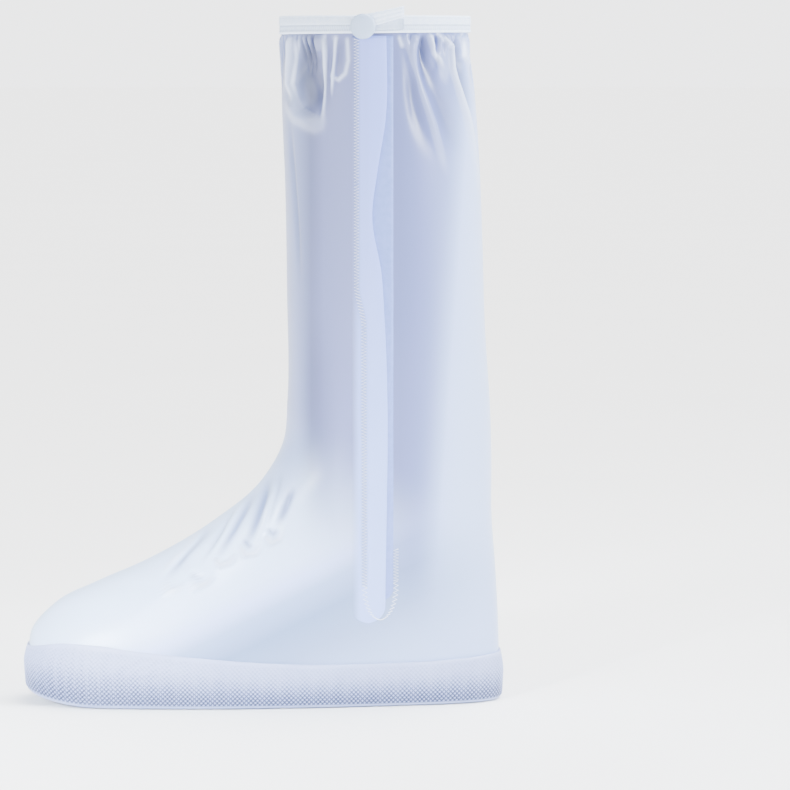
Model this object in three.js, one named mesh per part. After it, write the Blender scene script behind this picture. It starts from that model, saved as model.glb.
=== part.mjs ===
import * as THREE from 'three';

// A high waterproof cover of frosted PVC for a right shoe, standing on the floor.
// Millimetres, +Z up, toe toward -X, the zip on the side toward -Y.

// Driving sizes
const LENGTH = 297;
const HEIGHT = 424;
const WIDTH = 108;
const SHELL = 1.2;
const GAP = 0.3;
const TRAY_GAP = 0.45;
const STRIP_GAP = 0.45;
const PLATE = 4;
const TRAY_WALL = 2.4;
const TRAY_RIM = 1.2;
const EDGE_ROUND = 4;
const BAND_TALL = 10.2;
const BAND_SLOPE = 1.2;
const BAND_OUTER = 1.4;
const BAND_INNER = 1;
const BAND_TOP = 1.3;
const LEAF = 1;
const BUTTON_RADIUS = 7.7;
const BUTTON_TALL = 3;
const FLAP_THICK = 1.2;
const ZIP_THICK = 1.2;
const TOE_INSET = 6;
const TOE_SPRING = 7.5;
const SPRING_HIGH = 62;
const SPRING_LOW = 8;
const SPRING_FROM = -0.34;
const TOE_END = -0.5;
const HEEL_END = 0.5;
const INSET_FROM = -0.2;
const REAR_REACHED = 0.8;

// How finely the skin is divided
const AROUND = 60;
const OUTLINE_STEPS = 240;
const NUDGE = 0.002;
const SEARCH_STEPS = 30;
const SPOT_STEPS = 5;
const STRIP_STEPS = 20;

// Derived sizes
const SKIN_TOP = HEIGHT - BAND_TOP - GAP;
const TRAY_LIFT = TRAY_GAP + TRAY_WALL;
const BAND_LIFT = GAP + BAND_OUTER;
const BAND_LOW = HEIGHT - BAND_TALL;

// The outer skin of the upper, from the sole up. frontX and backX are shares of LENGTH,
// frontZ and backZ shares of SKIN_TOP, fore and rear half widths as shares of WIDTH.
// widest is where along the ring it is widest, nose and tail how blunt its two ends are,
// and rings how many rings of the mesh lie between this station and the next.
const COLUMNS = ['frontX', 'frontZ', 'backX', 'backZ', 'fore', 'rear', 'widest', 'nose', 'tail', 'rings'];
const STATION_ROWS = [
  [-0.4905, 0.0102, 0.4905, 0.0102, 0.473, 0.385, 0.36, 2.4, 2.9, 2],
  [-0.4925, 0.060, 0.4925, 0.060, 0.475, 0.390, 0.36, 2.4, 2.9, 2],
  [-0.4860, 0.099, 0.4915, 0.099, 0.460, 0.398, 0.37, 2.3, 2.8, 2],
  [-0.4340, 0.143, 0.4885, 0.147, 0.425, 0.412, 0.38, 2.2, 2.6, 2],
  [-0.3475, 0.173, 0.4835, 0.204, 0.400, 0.432, 0.40, 2.1, 2.5, 2],
  [-0.2485, 0.203, 0.4770, 0.264, 0.395, 0.458, 0.42, 2.0, 2.4, 2],
  [-0.1050, 0.262, 0.4760, 0.360, 0.435, 0.500, 0.45, 2.0, 2.2, 2],
  [-0.0040, 0.322, 0.4725, 0.437, 0.485, 0.523, 0.48, 2.0, 2.1, 2],
  [0.0425, 0.381, 0.4670, 0.493, 0.520, 0.536, 0.50, 2.0, 2.0, 2],
  [0.0508, 0.441, 0.4625, 0.542, 0.540, 0.543, 0.50, 2.0, 2.0, 3],
  [0.0505, 0.600, 0.4567, 0.668, 0.545, 0.545, 0.50, 2.0, 2.0, 3],
  [0.0470, 0.760, 0.4490, 0.800, 0.545, 0.545, 0.50, 2.0, 2.0, 3],
  [0.0405, 0.885, 0.4385, 0.900, 0.535, 0.535, 0.50, 2.0, 2.0, 4],
  [0.0400, 0.977, 0.4270, 0.977, 0.525, 0.525, 0.50, 2.0, 2.0, 1],
  [0.0400, 1.000, 0.4270, 1.000, 0.525, 0.525, 0.50, 2.0, 2.0, 0],
];
const STATIONS = STATION_ROWS.map((row) => Object.fromEntries(row.map((value, i) => [COLUMNS[i], value])));

// How high the tray's wall reaches, along from the toe. at is a share of LENGTH from the
// middle and high a share of HEIGHT.
const WALL_TOPS = [
  { at: -0.500, high: 0.068 },
  { at: -0.430, high: 0.088 },
  { at: -0.360, high: 0.090 },
  { at: -0.260, high: 0.082 },
  { at: -0.100, high: 0.071 },
  { at: 0.060, high: 0.063 },
  { at: 0.260, high: 0.062 },
  { at: 0.430, high: 0.066 },
  { at: 0.500, high: 0.070 },
];

// Folds of the skin, each along a straight run. side is -1 on the zip side, fromX and toX are
// shares of LENGTH, fromZ and toZ shares of HEIGHT, broad the half width and deep the height
// of the fold (negative for a hollow), both as shares of WIDTH.
const FOLDS = [
  { side: -1, fromX: 0.080, fromZ: 0.950, toX: 0.120, toZ: 0.890, broad: 0.085, deep: -0.035 },
  { side: -1, fromX: 0.060, fromZ: 0.865, toX: 0.115, toZ: 0.855, broad: 0.050, deep: 0.022 },
  { side: -1, fromX: 0.052, fromZ: 0.860, toX: 0.070, toZ: 0.700, broad: 0.045, deep: -0.014 },
  { side: -1, fromX: 0.310, fromZ: 0.950, toX: 0.372, toZ: 0.800, broad: 0.045, deep: 0.020 },
  { side: -1, fromX: 0.335, fromZ: 0.940, toX: 0.395, toZ: 0.800, broad: 0.060, deep: -0.024 },
  { side: -1, fromX: 0.372, fromZ: 0.955, toX: 0.445, toZ: 0.790, broad: 0.045, deep: 0.028 },
  { side: -1, fromX: 0.115, fromZ: 0.480, toX: 0.135, toZ: 0.260, broad: 0.090, deep: -0.014 },
  { side: -1, fromX: 0.010, fromZ: 0.290, toX: -0.060, toZ: 0.205, broad: 0.060, deep: -0.018 },
  { side: -1, fromX: -0.020, fromZ: 0.275, toX: -0.100, toZ: 0.195, broad: 0.055, deep: 0.015 },
  { side: -1, fromX: -0.110, fromZ: 0.240, toX: -0.200, toZ: 0.180, broad: 0.055, deep: -0.014 },
  { side: 1, fromX: 0.120, fromZ: 0.950, toX: 0.080, toZ: 0.800, broad: 0.060, deep: -0.024 },
  { side: 1, fromX: 0.300, fromZ: 0.900, toX: 0.180, toZ: 0.620, broad: 0.070, deep: -0.026 },
  { side: 1, fromX: 0.380, fromZ: 0.820, toX: 0.200, toZ: 0.480, broad: 0.070, deep: 0.024 },
  { side: 1, fromX: 0.410, fromZ: 0.700, toX: 0.230, toZ: 0.390, broad: 0.070, deep: -0.022 },
  { side: 1, fromX: 0.390, fromZ: 0.560, toX: 0.150, toZ: 0.300, broad: 0.070, deep: 0.018 },
  { side: 1, fromX: 0.020, fromZ: 0.300, toX: -0.080, toZ: 0.215, broad: 0.060, deep: -0.018 },
];

// Gathers below the band
const GATHERS = 13;
const GATHER_DEEP = 1.3;
const GATHER_LEAN = 0.35;
const GATHER_REACH = 42;
const GATHER_HOLDS = 0.4;

// Zip side: where the flap and the zip run, as shares of LENGTH from the middle, and where
// they end, as shares of HEIGHT
const FLAP_LEFT = 0.1835;
const ZIP_LEFT = 0.2220;
const ZIP_RIGHT = 0.2725;
const FLAP_FOOT = 0.1225;
const ZIP_FOOT = 0.1560;
const BELOW_BAND = 1;
const SMOOTH_MARGIN = 9;
const EDGE_MARGIN = 30;
const FOLD_START = 8;
const GATHER_START = 5;
const OVERLAP_START = 10;
const OVERLAP_END = 3;
const FLAP_TOP = BAND_LOW - BAND_SLOPE - BELOW_BAND;
const FLAP_BOTTOM = FLAP_FOOT * HEIGHT;
const ZIP_BOTTOM = ZIP_FOOT * HEIGHT;

// The flap's free edge: at is a share of HEIGHT and edge a share of LENGTH from the middle
const FLAP_EDGE = [
  { at: 0.100, edge: 0.2545 },
  { at: 0.560, edge: 0.2545 },
  { at: 0.630, edge: 0.2480 },
  { at: 0.715, edge: 0.2290 },
  { at: 0.780, edge: 0.2400 },
  { at: 0.850, edge: 0.2555 },
  { at: 0.980, edge: 0.2570 },
];

// Where a strip's points lie from its left edge (-1) to its right edge (1), how far over the
// start of its round foot its last rows lie, and the narrowest share of its width there
const FLAP_ACROSS = [-1, -0.4, 0, 0.33, 0.66, 1];
const ZIP_ACROSS = [-1, -0.33, 0.33, 1];
const FOOT_ROWS = [0.5, 0.15, 0];
const FOOT_NARROWEST = 0.3;

// The tray: the height that gives its plan, shares of the height of its wall, and of the way
// from the thin rim to the full wall
const PLAN_HEIGHT = 12;
const EDGE_STEP = 0.3;
const WALL_MIDDLE = 0.5;
const WALL_SHOULDER = 0.88;
const SHOULDER_THICK = 0.4;
const INSIDE_HIGH = 0.75;
const INSIDE_LOW = 0.4;

// The band's section: roundings in millimetres, and where they start as shares of its height
const BAND_HEM = 0.2;
const BAND_ROLL_OUT = 0.5;
const BAND_ROLL_IN = 0.4;
const HEM_TOP = 0.06;
const ROLL_START = 0.9;

// The tab and the button, x as shares of LENGTH, heights over the floor
const TAB_HINGE = 0.198;
const TAB_END = 0.290;
const TAB_STEPS = 5;
const LEAF_CLEAR_LOW = 0.4;
const LEAF_CLEAR_HIGH = 0.6;
const LEAF_NARROWS_LOW = 1.6;
const LEAF_NARROWS_HIGH = 2.4;
const LEAF_SAGS = 1.2;
const LEAF_RISES = 5.6;
const BUTTON_X = 0.212;
const BUTTON_OVER = 3.4;
const LEAF_FOOT = BAND_LOW + LEAF_CLEAR_LOW;
const LEAF_HEAD = HEIGHT - LEAF_CLEAR_HIGH;
const LEAF_END_FOOT = BAND_LOW + LEAF_NARROWS_LOW;
const LEAF_END_HEAD = HEIGHT - LEAF_NARROWS_HIGH;
const RISEN_FOOT = HEIGHT - LEAF_SAGS;
const RISEN_HEAD = HEIGHT + LEAF_RISES;
const BUTTON_Z = BAND_LOW + BUTTON_OVER;
const BUTTON_SIDES = 24;

// The button's outline: wide as a share of BUTTON_RADIUS, high as a share of BUTTON_TALL
const BUTTON_RINGS = [
  { wide: 0.93, high: 0 },
  { wide: 1.00, high: 0.22 },
  { wide: 0.97, high: 0.5 },
  { wide: 0.80, high: 0.78 },
  { wide: 0.45, high: 0.95 },
  { wide: 0.12, high: 1.0 },
];

const lerp = THREE.MathUtils.lerp;
const clamp01 = (value) => THREE.MathUtils.clamp(value, 0, 1);

function smooth(low, high, value) {
  const t = clamp01((value - low) / (high - low));
  return t * t * (3 - 2 * t);
}

// A smooth curve through the rows of a table, read at one value of its key
function curve(rows, keys, column, at) {
  const last = keys.length - 1;
  let i = 0;
  while (i < last - 1 && at > keys[i + 1]) {
    i += 1;
  }
  const slope = (k) => (rows[k + 1][column] - rows[k][column]) / (keys[k + 1] - keys[k]);
  const tangent = (k) => {
    if (k === 0) {
      return slope(0);
    }
    if (k === last) {
      return slope(last - 1);
    }
    const before = keys[k] - keys[k - 1];
    const after = keys[k + 1] - keys[k];
    return (slope(k - 1) * after + slope(k) * before) / (before + after);
  };
  const span = keys[i + 1] - keys[i];
  const t = clamp01((at - keys[i]) / span);
  const a = rows[i][column];
  const b = rows[i + 1][column];
  const t2 = t * t;
  const t3 = t2 * t;
  return (2 * t3 - 3 * t2 + 1) * a + (t3 - 2 * t2 + t) * span * tangent(i)
    + (3 * t2 - 2 * t3) * b + (t3 - t2) * span * tangent(i + 1);
}

// Stations are spaced by their distance along the front of the cover
function stationKeys() {
  const keys = [0];
  for (let i = 1; i < STATIONS.length; i += 1) {
    const a = STATIONS[i - 1];
    const b = STATIONS[i];
    const run = Math.hypot((b.frontX - a.frontX) * LENGTH, (b.frontZ - a.frontZ) * SKIN_TOP);
    keys.push(keys[i - 1] + run);
  }
  return keys.map((key) => key / keys[keys.length - 1]);
}

const KEYS = stationKeys();
const WALL_KEYS = WALL_TOPS.map((row) => row.at);
const EDGE_KEYS = FLAP_EDGE.map((row) => row.at);
const station = (column, v) => curve(STATIONS, KEYS, column, v);
const outlines = new Map();

// Half of one ring of the skin, from its front to its back, as a fine run of points
function outline(v) {
  if (outlines.has(v)) {
    return outlines.get(v);
  }
  const front = { x: station('frontX', v) * LENGTH, z: station('frontZ', v) * SKIN_TOP };
  const back = { x: station('backX', v) * LENGTH, z: station('backZ', v) * SKIN_TOP };
  const fore = station('fore', v) * WIDTH;
  const rear = station('rear', v) * WIDTH;
  const widest = station('widest', v);
  const nose = station('nose', v);
  const tail = station('tail', v);
  const points = [];
  let run = 0;
  for (let i = 0; i <= OUTLINE_STEPS; i += 1) {
    const s = (1 - Math.cos(Math.PI * i / OUTLINE_STEPS)) / 2;
    const inFront = s < widest;
    const away = inFront ? (widest - s) / widest : (s - widest) / (1 - widest);
    const power = inFront ? nose : tail;
    const half = inFront ? fore : lerp(fore, rear, smooth(0, REAR_REACHED, away));
    const y = half * Math.pow(Math.max(0, 1 - Math.pow(away, power)), 1 / power);
    const point = { x: lerp(front.x, back.x, s), y, z: lerp(front.z, back.z, s), run: 0 };
    if (i > 0) {
      const before = points[i - 1];
      run += Math.hypot(point.x - before.x, point.y - before.y);
    }
    point.run = run;
    points.push(point);
  }
  outlines.set(v, points);
  return points;
}

// A point of the smooth skin. u runs once round from the front by the zip side, v from the sole up.
function base(u, v) {
  const turn = u - Math.floor(u);
  const side = turn < 0.5 ? -1 : 1;
  const share = turn < 0.5 ? 2 * turn : 2 - 2 * turn;
  const points = outline(v);
  const goal = share * points[points.length - 1].run;
  let low = 0;
  let high = points.length - 1;
  while (high - low > 1) {
    const middle = (low + high) >> 1;
    if (points[middle].run > goal) {
      high = middle;
    } else {
      low = middle;
    }
  }
  const a = points[low];
  const b = points[high];
  const t = (goal - a.run) / (b.run - a.run);
  const x = lerp(a.x, b.x, t);
  const inset = -TOE_INSET * smooth(INSET_FROM, TOE_END, x / LENGTH);
  return new THREE.Vector3(x, side * lerp(a.y, b.y, t) + inset, lerp(a.z, b.z, t));
}

function normal(u, v) {
  const vLow = Math.max(0, v - NUDGE);
  const vHigh = Math.min(1, v + NUDGE);
  const along = base(u + NUDGE, v).sub(base(u - NUDGE, v));
  const up = base(u, vHigh).sub(base(u, vLow));
  return along.cross(up).normalize();
}

// Distance from a point to a fold's straight run, in the side view
function toRun(x, z, fold) {
  const ax = fold.fromX * LENGTH;
  const az = fold.fromZ * HEIGHT;
  const dx = fold.toX * LENGTH - ax;
  const dz = fold.toZ * HEIGHT - az;
  const along = ((x - ax) * dx + (z - az) * dz) / (dx * dx + dz * dz);
  const t = clamp01(along);
  return Math.hypot(x - ax - t * dx, z - az - t * dz);
}

// How far the folds and gathers move the skin out or in
function relief(u, point) {
  const drop = BAND_LOW - BAND_SLOPE - point.z;
  const onZip = point.y < 0 && point.x > FLAP_LEFT * LENGTH - SMOOTH_MARGIN
    && point.x < ZIP_RIGHT * LENGTH + SMOOTH_MARGIN;
  if (drop <= 0 || onZip) {
    return 0;
  }
  const beside = point.y < 0
    ? smooth(0, SMOOTH_MARGIN, Math.max(FLAP_LEFT * LENGTH - SMOOTH_MARGIN - point.x,
      point.x - ZIP_RIGHT * LENGTH - SMOOTH_MARGIN))
    : 1;
  const fade = smooth(0, GATHER_START, drop)
    * (1 - smooth(GATHER_REACH * GATHER_HOLDS, GATHER_REACH, drop));
  const lean = GATHER_LEAN * drop / GATHER_REACH;
  let move = GATHER_DEEP * fade * Math.cos(2 * Math.PI * (u * GATHERS + lean));
  for (const fold of FOLDS) {
    if (fold.side * point.y > 0) {
      const far = toRun(point.x, point.z, fold);
      const broad = fold.broad * WIDTH;
      const beyond = smooth(0, EDGE_MARGIN, Math.abs(point.y)) * smooth(0, FOLD_START, drop);
      move += fold.deep * WIDTH * Math.exp(-(far * far) / (broad * broad)) * beyond;
    }
  }
  return move * beside;
}

// A point at a height over the folded skin
function skin(u, v, lift) {
  const point = base(u, v);
  const move = relief(u, point) + lift;
  return point.addScaledVector(normal(u, v), move);
}

// The same, at a height of its own, for pieces that stand straight up
function upright(u, v, lift, z) {
  const point = skin(u, v, lift);
  point.z = z;
  return point;
}

// Round from the front by the zip side until the skin is at this x
function turnAt(x, v) {
  let low = 0;
  let high = 0.5;
  for (let i = 0; i < SEARCH_STEPS; i += 1) {
    const middle = (low + high) / 2;
    if (base(middle, v).x > x) {
      high = middle;
    } else {
      low = middle;
    }
  }
  return (low + high) / 2;
}

// Up the skin until its point at this turn is at this height
function climbTo(u, z) {
  let low = 0;
  let high = 1;
  for (let i = 0; i < SEARCH_STEPS; i += 1) {
    const middle = (low + high) / 2;
    if (base(u, middle).z > z) {
      high = middle;
    } else {
      low = middle;
    }
  }
  return (low + high) / 2;
}

// The toe is lifted off the floor a little, and less so higher up
function toeSpring(point) {
  const ahead = clamp01((SPRING_FROM - point.x / LENGTH) / (SPRING_FROM - TOE_END));
  return TOE_SPRING * ahead * ahead * (1 - smooth(SPRING_LOW, SPRING_HIGH, point.z));
}

// The turn and the ring of the skin at this x and height on the zip side
function spotAt(x, z) {
  let u = 0.25;
  let v = climbTo(u, z);
  for (let i = 0; i < SPOT_STEPS; i += 1) {
    u = turnAt(x, v);
    v = climbTo(u, z);
  }
  return { u, v };
}

// A closed body from loops of points. Loops that don't come round to the first are capped, and a
// cap joins each point j of a loop to the point pair - j.
function bodyFrom(name, loops, comesRound, pair) {
  const count = loops[0].length;
  const positions = [];
  for (const loop of loops) {
    for (const point of loop) {
      positions.push(point.x, point.y, point.z + toeSpring(point));
    }
  }
  const index = [];
  const bands = comesRound ? loops.length : loops.length - 1;
  for (let i = 0; i < bands; i += 1) {
    const here = i * count;
    const next = ((i + 1) % loops.length) * count;
    for (let j = 0; j < count; j += 1) {
      const k = (j + 1) % count;
      index.push(here + j, here + k, next + k);
      index.push(here + j, next + k, next + j);
    }
  }
  if (!comesRound) {
    capLoop(index, 0, count, pair, true);
    capLoop(index, (loops.length - 1) * count, count, pair, false);
  }
  return named(name, positions, index);
}

function capLoop(index, start, count, pair, turned) {
  const half = Math.floor((count + pair) / 2);
  for (let j = 0; j < half; j += 1) {
    const a = j;
    const b = j + 1;
    const c = (count + pair - b) % count;
    const d = (count + pair - a) % count;
    const faces = [[a, b, c], [a, c, d]];
    for (const [p, q, r] of faces) {
      if (p !== q && q !== r && p !== r) {
        index.push(start + p, start + (turned ? r : q), start + (turned ? q : r));
      }
    }
  }
}

function signedVolume(positions, index) {
  const a = new THREE.Vector3();
  const b = new THREE.Vector3();
  const c = new THREE.Vector3();
  let sum = 0;
  for (let i = 0; i < index.length; i += 3) {
    a.fromArray(positions, index[i] * 3);
    b.fromArray(positions, index[i + 1] * 3);
    c.fromArray(positions, index[i + 2] * 3);
    sum += a.dot(b.cross(c));
  }
  return sum;
}

function named(name, positions, index) {
  const faces = index.slice();
  if (signedVolume(positions, faces) < 0) {
    faces.reverse();
  }
  const geometry = new THREE.BufferGeometry();
  geometry.setAttribute('position', new THREE.Float32BufferAttribute(positions, 3));
  geometry.setIndex(faces);
  geometry.computeVertexNormals();
  const look = LOOKS[name];
  const material = new THREE.MeshStandardMaterial({ color: look.color, roughness: look.roughness });
  const mesh = new THREE.Mesh(geometry, material);
  mesh.name = name;
  return mesh;
}

const LOOKS = {
  sole: { color: 0xd3dce8, roughness: 0.5 },
  upper: { color: 0xcfd5e6, roughness: 0.4 },
  top_band: { color: 0xe6ebf2, roughness: 0.8 },
  band_tab: { color: 0xe6ebf2, roughness: 0.8 },
  snap_button: { color: 0xd8dfe8, roughness: 0.35 },
  zip_flap: { color: 0xd6dcee, roughness: 0.4 },
  zipper: { color: 0xc2cfea, roughness: 0.5 },
};

function loopOf(pointAt) {
  const loop = [];
  for (let j = 0; j < AROUND; j += 1) {
    loop.push(pointAt(j / AROUND));
  }
  return loop;
}

// Where the rings of the upper's mesh lie
function ringKeys() {
  const keys = [];
  STATIONS.forEach((row, i) => {
    for (let k = 0; k < row.rings; k += 1) {
      keys.push(lerp(KEYS[i], KEYS[i + 1], k / row.rings));
    }
  });
  keys.push(1);
  return keys;
}

function makeUpper() {
  const keys = ringKeys();
  const outer = keys.map((v) => loopOf((u) => skin(u, v, 0)));
  const inner = keys.map((v) => loopOf((u) => skin(u, v, -SHELL))).reverse();
  return bodyFrom('upper', [...outer, ...inner], true, 0);
}

function wallTop(x) {
  return curve(WALL_TOPS, WALL_KEYS, 'high', THREE.MathUtils.clamp(x / LENGTH, TOE_END, HEEL_END)) * HEIGHT;
}

// The lowest stations lie flat, so there the height gives the ring
function lowRing(z) {
  return climbTo(0, z);
}

function makeSole() {
  const middle = lowRing(PLAN_HEIGHT);
  const flat = (lift, z) => loopOf((u) => upright(u, middle, lift, z));
  const atWall = (lift, share, more) => loopOf((u) => {
    const top = wallTop(base(u, middle).x);
    const z = lerp(PLATE, top, share);
    return upright(u, lowRing(z), lift, z + more);
  });
  const loops = [
    flat(TRAY_LIFT - EDGE_ROUND, 0),
    flat(TRAY_LIFT - EDGE_ROUND * EDGE_STEP, EDGE_ROUND * EDGE_STEP),
    flat(TRAY_LIFT, EDGE_ROUND),
    atWall(TRAY_LIFT, WALL_MIDDLE, 0),
    atWall(TRAY_GAP + lerp(TRAY_RIM, TRAY_WALL, SHOULDER_THICK), WALL_SHOULDER, 0),
    atWall(TRAY_GAP + TRAY_RIM, 1, 0),
    atWall(TRAY_GAP + TRAY_RIM / 2, 1, TRAY_RIM / 2),
    atWall(TRAY_GAP, 1, 0),
    atWall(TRAY_GAP, INSIDE_HIGH, 0),
    atWall(TRAY_GAP, INSIDE_LOW, 0),
    flat(TRAY_GAP, PLATE),
  ];
  return bodyFrom('sole', loops, false, 0);
}

// The binding: an outer layer, a fold over the edge and an inner layer
function makeBand() {
  const inside = -SHELL - GAP;
  const low = (x) => BAND_LOW - BAND_SLOPE * (1 - clamp01(x / LENGTH / STATIONS.at(-1).backX));
  const at = (lift, high) => loopOf((u) => {
    const point = skin(u, 1, lift);
    const foot = low(point.x);
    point.z = lerp(foot, HEIGHT, high);
    return point;
  });
  const roof = 1 - BAND_TOP / BAND_TALL;
  const loops = [
    at(GAP, 0),
    at(BAND_LIFT - BAND_HEM, 0),
    at(BAND_LIFT, HEM_TOP),
    at(BAND_LIFT, ROLL_START),
    at(BAND_LIFT - BAND_ROLL_OUT, 1),
    at(inside - BAND_INNER + BAND_ROLL_IN, 1),
    at(inside - BAND_INNER, ROLL_START),
    at(inside - BAND_INNER, 0),
    at(inside, 0),
    at(inside, roof),
    at(GAP, roof),
  ];
  return bodyFrom('top_band', loops, true, 0);
}

// A strip laid on the skin: sections from one end to the other, each from left to right
function stripBody(name, sections) {
  const loops = sections.map((section) => [
    ...section.map((spot) => skin(spot.u, spot.v, spot.low + spot.thick)),
    ...section.map((spot) => skin(spot.u, spot.v, spot.low)).reverse(),
  ]);
  return bodyFrom(name, loops, false, -1);
}

// Heights down a strip, closer together near its rounded foot
function heightsDown(top, bottom, round) {
  const heights = [];
  for (let i = 0; i <= STRIP_STEPS; i += 1) {
    heights.push(lerp(top, bottom + round, i / STRIP_STEPS));
  }
  return [...heights, ...FOOT_ROWS.map((over) => bottom + round * over)];
}

// Half widths shrink round a half circle at the foot of a strip
function footShare(z, bottom, round) {
  const rise = clamp01((z - bottom) / round);
  return Math.max(FOOT_NARROWEST, Math.sqrt(1 - (1 - rise) * (1 - rise)));
}

function flapRight(z) {
  return curve(FLAP_EDGE, EDGE_KEYS, 'edge', z / HEIGHT) * LENGTH;
}

function makeFlap() {
  const left = FLAP_LEFT * LENGTH;
  const round = (flapRight(FLAP_BOTTOM) - left) / 2;
  const sections = heightsDown(FLAP_TOP, FLAP_BOTTOM, round).map((z) => {
    const right = flapRight(z);
    const centre = (left + right) / 2;
    const half = (right - left) / 2 * footShare(z, FLAP_BOTTOM, round);
    return FLAP_ACROSS.map((share) => {
      const x = centre + share * half;
      const over = smooth(ZIP_LEFT * LENGTH - OVERLAP_START, ZIP_LEFT * LENGTH - OVERLAP_END, x);
      return { ...spotAt(x, z), low: STRIP_GAP + over * (ZIP_THICK + GAP), thick: FLAP_THICK };
    });
  });
  return stripBody('zip_flap', sections);
}

function makeZipper() {
  const left = ZIP_LEFT * LENGTH;
  const right = ZIP_RIGHT * LENGTH;
  const round = (right - left) / 2;
  const sections = heightsDown(FLAP_TOP, ZIP_BOTTOM, round).map((z) => {
    const half = round * footShare(z, ZIP_BOTTOM, round);
    return ZIP_ACROSS.map((share) => {
      const x = (left + right) / 2 + share * half;
      return { ...spotAt(x, z), low: STRIP_GAP, thick: ZIP_THICK };
    });
  });
  return stripBody('zipper', sections);
}

// The elastic's free end: a leaf along the band, turned back under the button into a second
// leaf that rises over the first
function makeTab() {
  const hinge = TAB_HINGE * LENGTH;
  const end = TAB_END * LENGTH;
  const near = BAND_LIFT + GAP;
  const far = near + LEAF + GAP;
  const turn = far - GAP / 2;
  const section = (xA, liftA, xB, liftB, foot, head) => {
    const a = turnAt(xA, 1);
    const b = turnAt(xB, 1);
    return [
      upright(a, 1, liftA, foot), upright(a, 1, liftA, head),
      upright(b, 1, liftB, head), upright(b, 1, liftB, foot),
    ];
  };
  const loops = [];
  for (let i = 0; i <= TAB_STEPS; i += 1) {
    const share = i / TAB_STEPS;
    const x = lerp(end, hinge, share);
    loops.push(section(x, near, x, near + LEAF,
      lerp(LEAF_END_FOOT, LEAF_FOOT, share), lerp(LEAF_END_HEAD, LEAF_HEAD, share)));
  }
  loops.push(section(hinge - LEAF, turn, hinge, turn, LEAF_FOOT, LEAF_HEAD));
  for (let i = 0; i <= TAB_STEPS; i += 1) {
    const share = i / TAB_STEPS;
    const x = lerp(hinge, end, share);
    loops.push(section(x, far + LEAF, x, far,
      lerp(LEAF_FOOT, RISEN_FOOT, share), lerp(LEAF_HEAD, RISEN_HEAD, share)));
  }
  return bodyFrom('band_tab', loops, false, -1);
}

// The button is a shallow cap that faces straight out from the band
function makeButton() {
  const u = turnAt(BUTTON_X * LENGTH, 1);
  const out = normal(u, 1).setZ(0).normalize();
  const across = new THREE.Vector3(-out.y, out.x, 0);
  const lift = BAND_LIFT + 2 * (LEAF + GAP) + GAP;
  const centre = upright(u, 1, lift, BUTTON_Z);
  const loops = BUTTON_RINGS.map(({ wide, high }) => {
    const loop = [];
    for (let j = 0; j < BUTTON_SIDES; j += 1) {
      const turn = 2 * Math.PI * j / BUTTON_SIDES;
      const point = centre.clone().addScaledVector(out, high * BUTTON_TALL);
      point.addScaledVector(across, wide * BUTTON_RADIUS * Math.cos(turn));
      point.z += wide * BUTTON_RADIUS * Math.sin(turn);
      loop.push(point);
    }
    return loop;
  });
  return bodyFrom('snap_button', loops, false, 0);
}

const group = new THREE.Group();
group.name = 'shoe_cover';
group.add(makeSole(), makeUpper(), makeBand(), makeTab());
group.add(makeButton(), makeFlap(), makeZipper());

export default group;
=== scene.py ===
"""The looks of a high frosted rain cover for a right shoe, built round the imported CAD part."""

import math

import bpy
import numpy as np
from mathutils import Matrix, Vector


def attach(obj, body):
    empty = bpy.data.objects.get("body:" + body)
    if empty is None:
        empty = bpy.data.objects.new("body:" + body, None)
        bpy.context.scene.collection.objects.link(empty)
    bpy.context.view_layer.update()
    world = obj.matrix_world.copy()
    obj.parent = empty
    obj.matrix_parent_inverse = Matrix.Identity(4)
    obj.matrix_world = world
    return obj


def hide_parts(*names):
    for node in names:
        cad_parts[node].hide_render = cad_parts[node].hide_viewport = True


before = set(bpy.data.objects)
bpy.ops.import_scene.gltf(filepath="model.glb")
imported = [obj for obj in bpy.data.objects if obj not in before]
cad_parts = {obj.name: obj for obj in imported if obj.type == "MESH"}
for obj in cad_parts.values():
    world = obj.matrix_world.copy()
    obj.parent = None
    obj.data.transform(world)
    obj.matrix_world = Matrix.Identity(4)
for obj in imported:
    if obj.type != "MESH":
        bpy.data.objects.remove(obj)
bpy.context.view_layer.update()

MM = 0.001
TAU = 2 * math.pi

# Driving sizes in millimetres, the same as the CAD part's
LENGTH = 297.0
HEIGHT = 424.0
WIDTH = 108.0
SHELL = 1.2
GAP = 0.3
TRAY_GAP = 0.45
PLATE = 4.0
TRAY_WALL = 2.4
TRAY_RIM = 1.2
EDGE_ROUND = 4.0
BAND_TALL = 10.2
BAND_SLOPE = 1.2
BAND_OUTER = 1.4
BAND_INNER = 1.0
BAND_TOP = 1.3
LEAF = 1.0
BUTTON_RADIUS = 7.7
BUTTON_TALL = 3.0
TRAY_LIFT = TRAY_GAP + TRAY_WALL
SKIN_TOP = HEIGHT - BAND_TOP - GAP
BAND_LIFT = GAP + BAND_OUTER
BAND_LOW = HEIGHT - BAND_TALL
BAND_FOOT = BAND_LOW - BAND_SLOPE

# The toe bends inwards and is lifted off the floor, from these shares of LENGTH and up to these heights
TOE_TIP = -0.5
TOE_INSET = 6.0
INSET_FROM = -0.2
TOE_SPRING = 7.5
SPRING_FROM = -0.34
SPRING_LOW = 8.0
SPRING_HIGH = 62.0

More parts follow.
